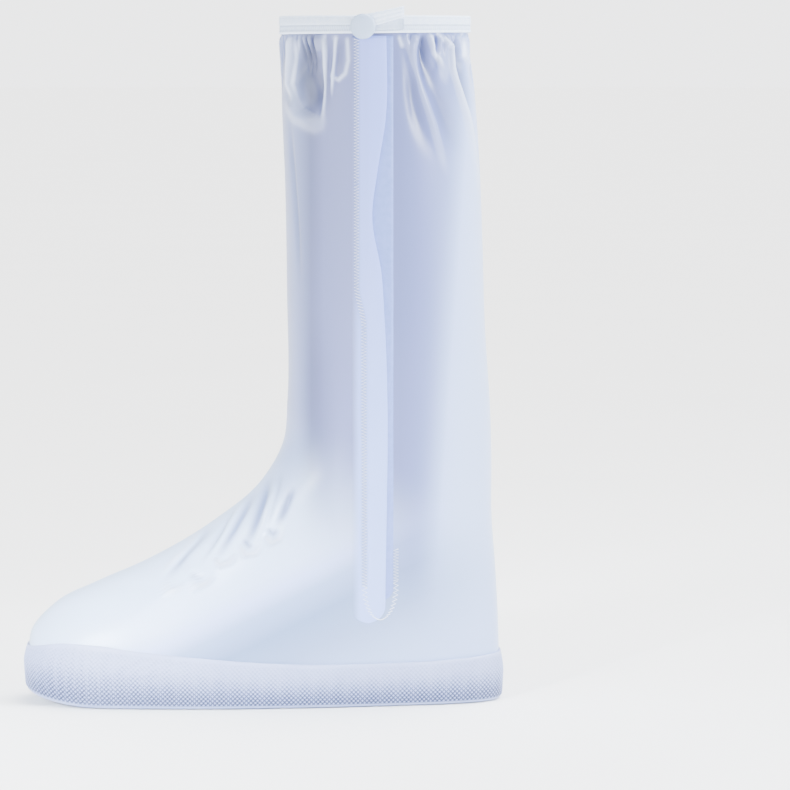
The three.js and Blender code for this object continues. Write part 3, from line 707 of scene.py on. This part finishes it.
def relief(u, point):
    """How far the folds, gathers and welds move the skin out or in."""
    x, y, z = point[..., 0], point[..., 1], point[..., 2]
    drop = BAND_FOOT - z
    outside = np.maximum(FLAP_LEFT * LENGTH - STRIP_SMOOTH - x, x - ZIP_RIGHT * LENGTH - STRIP_SMOOTH)
    beside = np.where(y < 0, smooth(0, STRIP_MARGIN, outside), 1.0)
    move = gathers(u, y, drop)
    move = move + WELD_DEEP * mound(y + toe_inset(x), WELD_HALF, FLAT)
    off_edge = smooth(0, EDGE_MARGIN, np.abs(y)) * smooth(0, FOLD_START, drop)
    for side, fold in FOLDS:
        move = move + np.where(side * y > 0, fold_height(x, z, fold) * off_edge, 0.0)
    return np.where(drop > 0, move * beside, 0.0)


def crests(point):
    """Where the thin ridges get a painted highlight: 1 along their crests and 0 away from them."""
    x, y, z = point[..., 0], point[..., 1], point[..., 2]
    found = np.zeros(x.shape)
    for side, fold in FOLDS:
        spread, deep = fold[:2]
        if deep > 0 and spread < THIN_RIDGE:
            here = fold_height(x, z, fold) / (deep * WIDTH)
            found = np.maximum(found, np.where(side * y > 0, here, 0.0))
    return found


def wall_top(x):
    at, high = np.array(WALL_TOPS).T
    return curve(at, high, np.clip(x / LENGTH, at[0], at[-1])) * HEIGHT


def sprung(points):
    """The toe is lifted off the floor a little, and less so higher up."""
    lifted = np.array(points, float)
    ahead = np.clip((SPRING_FROM - lifted[:, 0] / LENGTH) / (SPRING_FROM - TOE_TIP), 0, 1)
    lifted[:, 2] += TOE_SPRING * ahead**2 * (1 - smooth(SPRING_LOW, SPRING_HIGH, lifted[:, 2]))
    return lifted


def mesh_object(name, vertices, faces, smooth_faces=True):
    mesh = bpy.data.meshes.new(name)
    mesh.from_pydata([tuple(p) for p in np.asarray(vertices) * MM], [], faces)
    mesh.validate()
    mesh.update()
    obj = bpy.data.objects.new(name, mesh)
    bpy.context.scene.collection.objects.link(obj)
    if smooth_faces:
        mesh.polygons.foreach_set("use_smooth", [True] * len(mesh.polygons))
    return obj


def grid_faces(rows, columns, total):
    """Quads between rings of points, where indices past the total start again at 0."""
    faces = []
    for i in range(rows - 1):
        for j in range(columns):
            k = (j + 1) % columns
            low = i * columns
            high = (i + 1) * columns % total
            faces.append((low + j, low + k, high + k, high + j))
    return faces


def cap_faces(start, count, pair, turned):
    """A cap of quads over one loop of points, from its one side to the other."""
    faces = []
    for j in range((count + pair) // 2):
        ring = [j, j + 1, (count + pair - j - 1) % count, (count + pair - j) % count]
        face = []
        for index in ring:
            if start + index not in face:
                face.append(start + index)
        if len(face) > 2:
            faces.append(tuple(face[::-1]) if turned else tuple(face))
    return faces


def loft(name, loops, wrap_loops=False, caps=None):
    """A body from loops of points, each closed. caps is None, 'plan' or 'strip'."""
    count = len(loops[0])
    total = len(loops) * count
    faces = grid_faces(len(loops) + wrap_loops, count, total)
    if caps:
        pair = 0 if caps == "plan" else -1
        faces += cap_faces(0, count, pair, True) + cap_faces(total - count, count, pair, False)
    return mesh_object(name, sprung(np.concatenate(loops)), faces)


def put_shade(obj, values):
    layer = obj.data.attributes.new("shade", "FLOAT", "POINT")
    layer.data.foreach_set("value", np.asarray(values, np.float32))


def turns(count):
    return np.arange(count) / count


def skin_turns():
    """Columns for the fine skin, closer together on the zip side."""
    share = turns(AROUND)
    return share + ZIP_SIDE_FINER / TAU * np.sin(TAU * (share + ZIP_SIDE_TURN))


def ring_rows():
    """Rings for the fine skin, closer together under the band and over the ankle."""
    v = np.linspace(0, 1, RING_TABLE)
    ankle = smooth(*ANKLE_FINER_FROM, v)
    dense = 1 + BAND_FINER * smooth(*BAND_FINER_SPAN, v)
    dense = dense + ANKLE_FINER * ankle * (1 - smooth(*ANKLE_FINER_TO, v))
    run = np.cumsum(dense) - dense[0]
    return np.interp(np.linspace(0, 1, UP), run / run[-1], v)


def inner_wall(u, v, smooth_skin, normal, moved):
    """The wall's inner side on fewer rings, clear of the outer side's hollows and bends between them."""
    held = np.argmax(smooth_skin[..., 2].min(1) >= BAND_FOOT)
    rows = np.concatenate([[UP - 1, held], np.arange(held - 2, 0, -INNER_STEP), [0]])
    lowest = np.array([moved[max(0, i - INNER_STEP):i + INNER_STEP + 1].min(0) for i in rows])
    lowest[rows >= held] = 0
    beside = np.clip(rows[:, None] + np.array([-INNER_STEP, INNER_STEP]), 0, UP - 1)
    bend = ((smooth_skin[beside].mean(1) - smooth_skin[rows]) * normal[rows]).sum(2)
    return SKIN.at(u[None, :], v[rows][:, None], lowest - SHELL - np.clip(bend, 0, None) / 2)


def make_upper():
    u = skin_turns()
    v = ring_rows()
    outer = SKIN.at(u[None, :], v[:, None], 0.0, relief)
    smooth_skin = SKIN.at(u[None, :], v[:, None], 0.0)
    normal = SKIN.read(SKIN.normal, *np.broadcast_arrays(u[None, :], v[:, None]))
    moved = ((outer - smooth_skin) * normal).sum(2)
    inner = inner_wall(u, v, smooth_skin, normal, moved)
    made = loft("upper_look", list(outer) + list(inner), wrap_loops=True)
    # Painted shade in the skin's hollows and painted highlight on its ridges and thin crests; the inner
    # side is painted paler
    shade = np.full(len(made.data.vertices), INNER_SHADE)
    gleam = CREST_SHARE * crests(smooth_skin).ravel() ** CREST_POWER
    rise = np.clip(moved.ravel() / SHADE_DEPTH, -PLAIN, PLAIN_RIDGE)
    shade[:moved.size] = np.clip(PLAIN + rise + gleam, 0, 1)
    put_shade(made, shade)
    return made


def lozenge(around, z):
    """The lozenge pattern: 1 in the middle of each and 0 in the grooves."""
    up = z / PATTERN_PITCH
    a = (around + up) % 1.0
    b = (around - up) % 1.0
    return 1 - np.maximum(np.abs(2 * a - 1), np.abs(2 * b - 1)) ** 2


def wall_row(around, top, share):
    """Height, lift and shade of the sole's wall at a share of its height, the shade painting its grooves
    darker.
    """
    z = PATTERN_START + (top - TRAY_RIM / 2 - PATTERN_START) * share
    tucked = EDGE_ROUND * (1 - np.sqrt(1 - np.clip(1 - z / EDGE_ROUND, 0, 1) ** 2))
    wall = TRAY_WALL + (TRAY_RIM - TRAY_WALL) * smooth(RIM_FROM, 1.0, share)
    gem = lozenge(around, z)
    fade = smooth(0.0, PATTERN_IN, share) * (1 - smooth(*PATTERN_OUT, share))
    swell = WALL_SWELL * np.sin(math.pi * share)
    lift = TRAY_GAP + wall + swell - tucked + PATTERN_DEEP * (gem - PATTERN_MIDDLE) * fade
    wide = GROOVE_WIDE * (1 - smooth(0.0, GROOVE_NARROWS, share))
    paler = 1 - GROOVE_PALES * smooth(GROOVE_PALES_FROM, 1.0, share)
    shade = 1 - (1 - smooth(wide, wide + GROOVE_SOFT, gem)) * fade * paler
    return z, lift, shade


def make_sole():
    """The tray, with a lozenge pattern raised on its wall."""
    u = turns(SOLE_COLUMNS)
    ring = np.full(SOLE_COLUMNS, SKIN.climb(0.0, PLAN_HEIGHT))
    plan = SKIN.at(u, ring)
    top = wall_top(plan[:, 0])
    step = np.linalg.norm(np.roll(plan, -1, 0) - plan, axis=1)
    run = np.concatenate([[0.0], np.cumsum(step)[:-1]])
    around = run / step.sum() * round(step.sum() / PATTERN_PITCH)
    loops = []
    shades = []
    for inward, high in SOLE_CORNER:
        point = SKIN.at(u, ring, TRAY_LIFT - EDGE_ROUND * inward)
        point[:, 2] = EDGE_ROUND * high
        loops.append(point)
        shades.append(np.ones(SOLE_COLUMNS))
    for share in np.linspace(0, 1, SOLE_ROWS):
        z, lift, shade = wall_row(around, top, share)
        point = SKIN.at(u, SKIN.climb(u, z), lift)
        point[:, 2] = z
        loops.append(point)
        shades.append(shade)
    for gaps, rims, share, rise in SOLE_RIM:
        z = PLATE + (top - PLATE) * share
        point = SKIN.at(u, SKIN.climb(u, z), TRAY_GAP * gaps + TRAY_RIM * rims)
        point[:, 2] = z + TRAY_RIM * rise
        loops.append(point)
        shades.append(np.ones(SOLE_COLUMNS))
    made = loft("sole_look", loops, caps="plan")
    put_shade(made, np.concatenate(shades))
    return made


def make_band():
    u = turns(BAND_COLUMNS)
    rib = BAND_RIB_DEEP * np.cos(TAU * u * BAND_RIBS)
    stitched = BAND_RIB_DEEP * np.cos(2 * TAU * u * BAND_RIBS)
    loops = []
    shades = []
    for lift, high, ribbed, shade in BAND_PROFILE:
        ribs = rib if high > STITCHED_UP_TO else stitched
        point = SKIN.at(u, np.ones(BAND_COLUMNS), lift + ribbed * ribs)
        back = np.clip(point[:, 0] / LENGTH / BAND_BACK, 0, 1)
        foot = BAND_LOW - BAND_SLOPE * (1 - back)
        point[:, 2] = foot + (HEIGHT - foot) * high
        loops.append(point)
        stitch = np.clip(np.cos(TAU * (u * BAND_STITCHES + high * STITCH_LEAN)), 0, 1)
        shades.append(np.clip(shade + STITCH_SHADE * (ribbed == STITCHED_RIBS) * stitch, 0, 1))
    made = loft("top_band_look", loops, wrap_loops=True)
    put_shade(made, np.concatenate(shades))
    return made


def tab_section(tall, x_a, lift_a, x_b, lift_b, foot, head):
    """One upright slice of the tab, ribbed and with rounded corners."""
    z = foot + (head - foot) * tall
    corner = TAB_CORNER * (np.abs(2 * tall - 1) ** TAB_CORNER_POWER)
    inward = corner - TAB_RIB_DEEP * np.cos(TAU * tall * TAB_RIBS)
    toward = np.sign(lift_b - lift_a)
    a = SKIN.upright(np.full(TAB_ROWS, SKIN.turn(x_a, 1.0)), lift_a + toward * inward, z)
    b = SKIN.upright(np.full(TAB_ROWS, SKIN.turn(x_b, 1.0)), lift_b - toward * inward, z)
    return np.concatenate([a, b[::-1]])


def make_tab():
    """The elastic's free end: a leaf on the band, folded back on itself and rising to its end."""
    hinge = TAB_HINGE * LENGTH
    end = TAB_END * LENGTH
    near = BAND_LIFT + GAP
    far = near + LEAF + GAP
    turn = far - GAP / 2
    tall = np.linspace(0, 1, TAB_ROWS)
    shares = np.linspace(0, 1, TAB_STEPS)
    loops = []
    for share in shares:
        x = end + (hinge - end) * share
        loops.append(tab_section(tall, x, near, x, near + LEAF,
                                 LEAF_END_FOOT + (LEAF_FOOT - LEAF_END_FOOT) * share,
                                 LEAF_END_HEAD + (LEAF_HEAD - LEAF_END_HEAD) * share))
    loops.append(tab_section(tall, hinge - LEAF, turn, hinge, turn, LEAF_FOOT, LEAF_HEAD))
    for share in shares:
        x = hinge + (end - hinge) * share
        loops.append(tab_section(tall, x, far + LEAF, x, far,
                                 LEAF_FOOT + (RISEN_FOOT - LEAF_FOOT) * share,
                                 LEAF_HEAD + (RISEN_HEAD - LEAF_HEAD) * share))
    made = loft("band_tab_look", loops, caps="strip")
    # Painted shadow on the folded-under leaf, darkest at its end, and painted light in bands over the
    # risen leaf
    under = TAB_UNDER + TAB_UNDER_RISE * np.append(smooth(0.0, TAB_END_SHARE, shares), 1.0)
    bands = np.cos(TAU * np.concatenate([tall, tall[::-1]]) * TAB_SHADE_BANDS)
    over = np.tile(TAB_SHADE + TAB_SHADE_SWING * bands, TAB_STEPS)
    put_shade(made, np.concatenate([np.repeat(under, 2 * TAB_ROWS), over]))
    return made


def make_button():
    u = float(SKIN.turn(BUTTON_X * LENGTH, 1.0))
    out = SKIN.read(SKIN.normal, np.array(u), np.array(1.0))
    out[2] = 0
    out /= np.linalg.norm(out)
    across = np.array([-out[1], out[0], 0.0])
    lift = BAND_LIFT + 2 * (LEAF + GAP) + GAP
    centre = SKIN.upright(np.array([u]), lift, BUTTON_Z)[0]
    angle = TAU * turns(BUTTON_COLUMNS)
    loops = []
    for wide, high in BUTTON_PROFILE:
        ring = BUTTON_RADIUS * wide
        loops.append(centre + out * high * BUTTON_TALL + ring * np.cos(angle)[:, None] * across
                     + ring * np.sin(angle)[:, None] * np.array(UPWARD))
    return loft("snap_button_look", loops, caps="plan")


def heights_down(bottom, round_off):
    """Heights down a strip from under the band, closer together at its rounded foot."""
    bends = 1 - np.cos(np.linspace(0, math.pi / 2, STRIP_END_ROWS))
    ends = bottom + round_off * bends[::-1]
    return np.concatenate([np.linspace(FLAP_TOP, bottom + round_off, STRIP_ROWS), ends[1:]])


def foot_share(z, bottom, round_off):
    """How wide a strip is at its rounded foot, as a share of its width."""
    rise = np.clip((z - bottom) / round_off, 0, 1)
    return np.maximum(STRIP_FOOT_LEAST, np.sqrt(1 - (1 - rise) ** 2))


def strip_columns(count):
    """Places from -1 to 1 across a strip, closer together at its edges."""
    return np.sin(np.linspace(-math.pi / 2, math.pi / 2, count))


def flap_right(z):
    at, edge = np.array(FLAP_EDGE).T
    return curve(at, edge, np.asarray(z / HEIGHT, float)) * LENGTH


def stitch_line(z):
    """Where the flap's seam runs: it steps sideways a little above the middle."""
    return STITCH_X * LENGTH + STITCH_SHIFT * smooth(*STITCH_SHIFT_SPAN, z / HEIGHT)


def flap_lift(x, z):
    """The flap grows out of the skin at its welded edge and rides over the zip."""
    weld = FLAP_LEFT * LENGTH
    zip_edge = ZIP_LEFT * LENGTH
    welded = smooth(weld - WELD_SPAN[0], weld + WELD_SPAN[1], x)
    over = smooth(zip_edge - ZIP_SPAN[0], zip_edge + ZIP_SPAN[1], x)
    free = smooth(*FREE_SPAN, z / HEIGHT)
    sewn = STITCH_SUNK * mound(x - stitch_line(z), SUNK_HALF, FLAT) * (z > STITCH_LOW)
    return -FLAP_SUNK + FLAP_RISE * welded + over * (ZIP_RISE + FREE_RISE * free) - sewn


def make_flap():
    left = FLAP_LEFT * LENGTH
    round_off = (flap_right(FLAP_BOTTOM) - left) / 2
    across = strip_columns(FLAP_COLUMNS)
    corner = FLAP_CORNER * np.abs(across) ** FLAP_CORNER_POWER
    loops = []
    shades = []
    for z in heights_down(FLAP_BOTTOM, round_off):
        right = flap_right(z)
        half = (right - left) / 2 * foot_share(z, FLAP_BOTTOM, round_off)
        x = (left + right) / 2 + across * half
        u, v = SKIN.spot(x, np.full(x.shape, z))
        lift = flap_lift(x, z)
        top = SKIN.at(u, v, lift - corner)
        base = SKIN.at(u, v, np.minimum(lift - FLAP_SHEET, FLAP_BASE))
        loops.append(np.concatenate([top, base[::-1]]))
        # Painted shade along the sunk seam under the zigzag
        seam = mound(x - stitch_line(z), SEAM_HALF, FLAT) * (z > STITCH_LOW)
        shades.append(np.concatenate([PLAIN - SEAM_SHADE * seam, np.full(x.shape, PLAIN)]))
    made = loft("zip_flap_look", loops, caps="strip")
    put_shade(made, np.concatenate(shades))
    return made


def make_zipper():
    left = ZIP_LEFT * LENGTH
    right = ZIP_RIGHT * LENGTH
    round_off = (right - left) / 2
    across = strip_columns(ZIP_COLUMNS)
    cord = CORD_RISE * mound(across - CORD_AT, CORD_WIDE, ROUND)
    lift = ZIP_LIFT + cord - ZIP_CORNER * np.abs(across) ** ZIP_CORNER_POWER
    loops = []
    for z in heights_down(ZIP_BOTTOM, round_off):
        half = round_off * foot_share(z, ZIP_BOTTOM, round_off)
        x = (left + right) / 2 + across * half
        u, v = SKIN.spot(x, np.full(x.shape, z))
        loops.append(np.concatenate([SKIN.at(u, v, lift), SKIN.at(u, v, -ZIP_SUNK)[::-1]]))
    return loft("zipper_look", loops, caps="strip")


def thread(name, points):
    """A thin thread along a run of points."""
    tangent = np.gradient(points, axis=0)
    tangent /= np.linalg.norm(tangent, axis=1, keepdims=True)
    side = np.cross(tangent, UPWARD)
    side /= np.linalg.norm(side, axis=1, keepdims=True)
    over = np.cross(side, tangent)
    loops = []
    for turn in range(THREAD_SIDES):
        angle = TAU * turn / THREAD_SIDES
        loops.append(points + STITCH_THICK * (math.cos(angle) * side + math.sin(angle) * over))
    return loft(name, np.stack(loops, 1), caps="strip")


def zigzag(count):
    return STITCH_WIDE * (np.arange(count) % 2 - 0.5)


def flap_stitch():
    """The zigzag down the flap's seam."""
    z = np.arange(STITCH_TOP, STITCH_LOW, -STITCH_STEP)
    x = stitch_line(z) + zigzag(len(z))
    u, v = SKIN.spot(x, z)
    return thread("flap_stitch", SKIN.at(u, v, flap_lift(x, z) + STITCH_LIFT))


def gusset_stitch():
    """The zigzag round the zip's foot and up its far side."""
    left = STITCH_X * LENGTH + STITCH_SHIFT
    right = GUSSET_RIGHT * LENGTH
    centre = (left + right) / 2
    angle = np.linspace(math.pi, TAU + GUSSET_PAST, GUSSET_TURNS)
    bend = centre - left + zigzag(GUSSET_TURNS)
    x = np.concatenate([centre + bend * np.cos(angle), right + zigzag(GUSSET_STEPS)])
    z = np.concatenate([STITCH_LOW + GUSSET_DEEP * np.sin(angle),
                        STITCH_LOW + GUSSET_DEEP * GUSSET_PAST + STITCH_STEP * np.arange(GUSSET_STEPS)])
    u, v = SKIN.spot(x, z)
    lift = np.where(x < flap_right(z), flap_lift(x, z), 0.0) + GUSSET_LIFT
    return thread("gusset_stitch", SKIN.at(u, v, lift))


def material(name, build):
    made = bpy.data.materials.new(name)
    made.use_nodes = True
    nodes = made.node_tree.nodes
    links = made.node_tree.links
    nodes.clear()
    output = nodes.new("ShaderNodeOutputMaterial")
    shader = nodes.new("ShaderNodeBsdfPrincipled")
    links.new(shader.outputs["BSDF"], output.inputs["Surface"])
    build(nodes, links, shader)
    return made


def place(nodes):
    return nodes.new("ShaderNodeTexCoord").outputs["Object"]


def read_shade(nodes):
    made = nodes.new("ShaderNodeAttribute")
    made.attribute_name = "shade"
    return made.outputs["Fac"]


def noise(nodes, links, scale):
    made = nodes.new("ShaderNodeTexNoise")
    made.inputs["Scale"].default_value = scale
    made.inputs["Detail"].default_value = SPECK_DETAIL
    links.new(place(nodes), made.inputs["Vector"])
    return made.outputs["Fac"]


def ramp(nodes, links, factor, stops):
    made = nodes.new("ShaderNodeValToRGB")
    elements = made.color_ramp.elements
    while len(elements) < len(stops):
        elements.new(0.5)
    for element, (position, colour) in zip(elements, stops):
        element.position = position
        element.color = (*colour, 1.0)
    links.new(factor, made.inputs["Fac"])
    return made.outputs["Color"]


def add_grain(nodes, links, shader, scale, strength, depth):
    """A fine relief that only the light sees."""
    made = nodes.new("ShaderNodeBump")
    made.inputs["Strength"].default_value = strength
    made.inputs["Distance"].default_value = depth
    links.new(noise(nodes, links, scale), made.inputs["Height"])
    links.new(made.outputs["Normal"], shader.inputs["Normal"])


def along(nodes, links, direction, low, high):
    """0 at one place along a direction and 1 at another, in millimetres."""
    dot = nodes.new("ShaderNodeVectorMath")
    dot.operation = "DOT_PRODUCT"
    dot.inputs[1].default_value = direction
    links.new(place(nodes), dot.inputs[0])
    made = nodes.new("ShaderNodeMapRange")
    made.interpolation_type = "SMOOTHSTEP"
    made.inputs["From Min"].default_value = low * MM
    made.inputs["From Max"].default_value = high * MM
    links.new(dot.outputs["Value"], made.inputs["Value"])
    return made.outputs["Result"]


def mixed(nodes, links, first, second, factor, blend="MIX"):
    made = nodes.new("ShaderNodeMix")
    made.data_type = "RGBA"
    made.blend_type = blend
    inputs = [socket for socket in made.inputs if socket.type == "RGBA"]
    links.new(first, inputs[0])
    links.new(second, inputs[1])
    if isinstance(factor, float):
        made.inputs[0].default_value = factor
    else:
        links.new(factor, made.inputs[0])
    return next(socket for socket in made.outputs if socket.type == "RGBA")


def shaded(nodes, links, colour, tints):
    """Multiplies a colour by tints read from the shade attribute: painted shade in the hollows, plain,
    and lighter on the crests.
    """
    tint = ramp(nodes, links, read_shade(nodes), list(zip((0.0, PLAIN, 1.0), tints)))
    return mixed(nodes, links, colour, tint, 1.0, "MULTIPLY")


def shell_colour(nodes, links):
    """The film's tints, with painted shade across the shaft, under the arch and in hollows, and painted
    light on the back edge and crests.
    """
    shaft = ramp(nodes, links, along(nodes, links, ACROSS, *SHAFT_SPAN), SHAFT_TINT_AND_PAINTED_SHADE)
    foot = ramp(nodes, links, along(nodes, links, SINKING, *FOOT_SPAN), FOOT_TINT_AND_PAINTED_SHADOW)
    edge = ramp(nodes, links, along(nodes, links, LEANING, *EDGE_SPAN), BACK_EDGE_PAINTED_LIGHT)
    shaft = mixed(nodes, links, shaft, edge, along(nodes, links, LEANING, *EDGE_FROM))
    shaft = shaded(nodes, links, shaft, SHAFT_PAINTED_SHADE)
    foot = shaded(nodes, links, foot, FOOT_PAINTED_SHADE)
    colour = mixed(nodes, links, foot, shaft, along(nodes, links, SLANTED, *SHAFT_FROM))
    crest = ramp(nodes, links, noise(nodes, links, SPECK_SCALE), PAINTED_HIGHLIGHT_COLOURS)
    share = ramp(nodes, links, read_shade(nodes), PAINTED_HIGHLIGHT_SHARES)
    return mixed(nodes, links, colour, crest, share)


def set_values(shader, values):
    for name, value in values.items():
        shader.inputs[name].default_value = value


def shell_look(nodes, links, shader):
    links.new(shell_colour(nodes, links), shader.inputs["Base Color"])
    add_grain(nodes, links, shader, *FILM_GRAIN)
    set_values(shader, SHELL_VALUES)


def flap_look(nodes, links, shader):
    """The flap's own tints, with painted shade along its seam, which take on the shell's at the welded
    edge.
    """
    weld = FLAP_LEFT * LENGTH
    colour = ramp(nodes, links, along(nodes, links, UPWARD, *FLAP_SPAN), FLAP_COLOURS)
    colour = shaded(nodes, links, colour, SHAFT_PAINTED_SHADE)
    share = along(nodes, links, ACROSS, weld, weld + FLAP_BLEND)
    colour = mixed(nodes, links, shell_colour(nodes, links), colour, share)
    links.new(colour, shader.inputs["Base Color"])
    add_grain(nodes, links, shader, *FILM_GRAIN)
    set_values(shader, FLAP_VALUES)


def plain_material(name):
    scale, colours, tints, grain, roughness = PLAIN_LOOKS[name]

    def build(nodes, links, shader):
        colour = ramp(nodes, links, noise(nodes, links, scale), colours)
        if tints:
            colour = shaded(nodes, links, colour, tints)
        links.new(colour, shader.inputs["Base Color"])
        if grain:
            add_grain(nodes, links, shader, *grain)
        shader.inputs["Roughness"].default_value = roughness

    return material(name, build)


def dress(obj, look, slot, *nodes):
    obj.data.materials.clear()
    obj.data.materials.append(look)
    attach(obj, "root")
    if nodes:
        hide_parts(*nodes)


def build_object():
    elastic = plain_material("elastic")
    threads = plain_material("thread")
    dress(make_upper(), material("shell_pvc", shell_look), "shell_pvc", "upper")
    dress(make_sole(), plain_material("sole_pvc"), "sole_pvc", "sole")
    dress(make_band(), elastic, "elastic", "top_band")
    dress(make_tab(), elastic, "elastic", "band_tab")
    dress(make_button(), plain_material("button_plastic"), "button_plastic", "snap_button")
    dress(make_flap(), material("flap_pvc", flap_look), "flap_pvc", "zip_flap")
    dress(make_zipper(), plain_material("zip_tape"), "zip_tape", "zipper")
    dress(flap_stitch(), threads, "flap_pvc")
    dress(gusset_stitch(), threads, "flap_pvc")


def build_world():
    """A pale sky, as bright at the horizon as the floor, and dimmer over it."""
    world = bpy.data.worlds.new("studio")
    world.use_nodes = True
    nodes = world.node_tree.nodes
    links = world.node_tree.links
    split = nodes.new("ShaderNodeSeparateXYZ")
    links.new(nodes.new("ShaderNodeTexCoord").outputs["Generated"], split.inputs["Vector"])
    strength = nodes.new("ShaderNodeMapRange")
    strength.interpolation_type = "SMOOTHSTEP"
    strength.inputs["From Min"].default_value = HORIZON_TOP
    strength.inputs["From Max"].default_value = SKY_START
    strength.inputs["To Min"].default_value = HORIZON_STRENGTH
    strength.inputs["To Max"].default_value = SKY_STRENGTH
    links.new(split.outputs["Z"], strength.inputs["Value"])
    background = nodes["Background"]
    background.inputs["Color"].default_value = SKY_COLOUR
    links.new(strength.outputs["Result"], background.inputs["Strength"])
    bpy.context.scene.world = world


def add_lamp(light, spot, aim):
    lamp = bpy.data.objects.new(light.name, light)
    lamp.rotation_euler = (Vector(aim) - Vector(spot)).to_track_quat("-Z", "Y").to_euler()
    bpy.context.scene.collection.objects.link(lamp)
    return lamp


def build_lights():
    for name, spot, aim, size, spread, power in LIGHTS:
        light = bpy.data.lights.new(name, "AREA")
        light.size = size
        light.spread = math.radians(spread)
        light.energy = power
        light.color = LIGHT_COLOUR
        add_lamp(light, spot, aim).location = spot
    light = bpy.data.lights.new("sky_panel", "SUN")
    light.energy = SUN_POWER
    light.angle = SUN_ANGLE
    add_lamp(light, SUN_SPOT, (0.0, 0.0, 0.0))


def build_floor():
    corners = np.array([(-1, -1, 0), (1, -1, 0), (1, 1, 0), (-1, 1, 0)]) * FLOOR_HALF
    floor = mesh_object("floor", corners, [(0, 1, 2, 3)], smooth_faces=False)
    floor.location.z = -FLOOR_DROP
    floor.data.materials.append(plain_material("floor"))


def build_camera():
    camera = bpy.data.cameras.new("camera")
    camera.sensor_width = SENSOR
    camera.lens = SENSOR * CAMERA_FOCAL_PX / FRAME_PX
    camera.clip_end = CAMERA_CLIP
    eye = bpy.data.objects.new("camera", camera)
    eye.location = (CAMERA_X, -CAMERA_FAR, CAMERA_HIGH)
    eye.rotation_euler = (math.pi / 2 - math.atan(CAMERA_DROP_PX / CAMERA_FOCAL_PX), 0.0, 0.0)
    bpy.context.scene.collection.objects.link(eye)
    bpy.context.scene.camera = eye


build_object()
build_floor()
build_world()
build_lights()
build_camera()
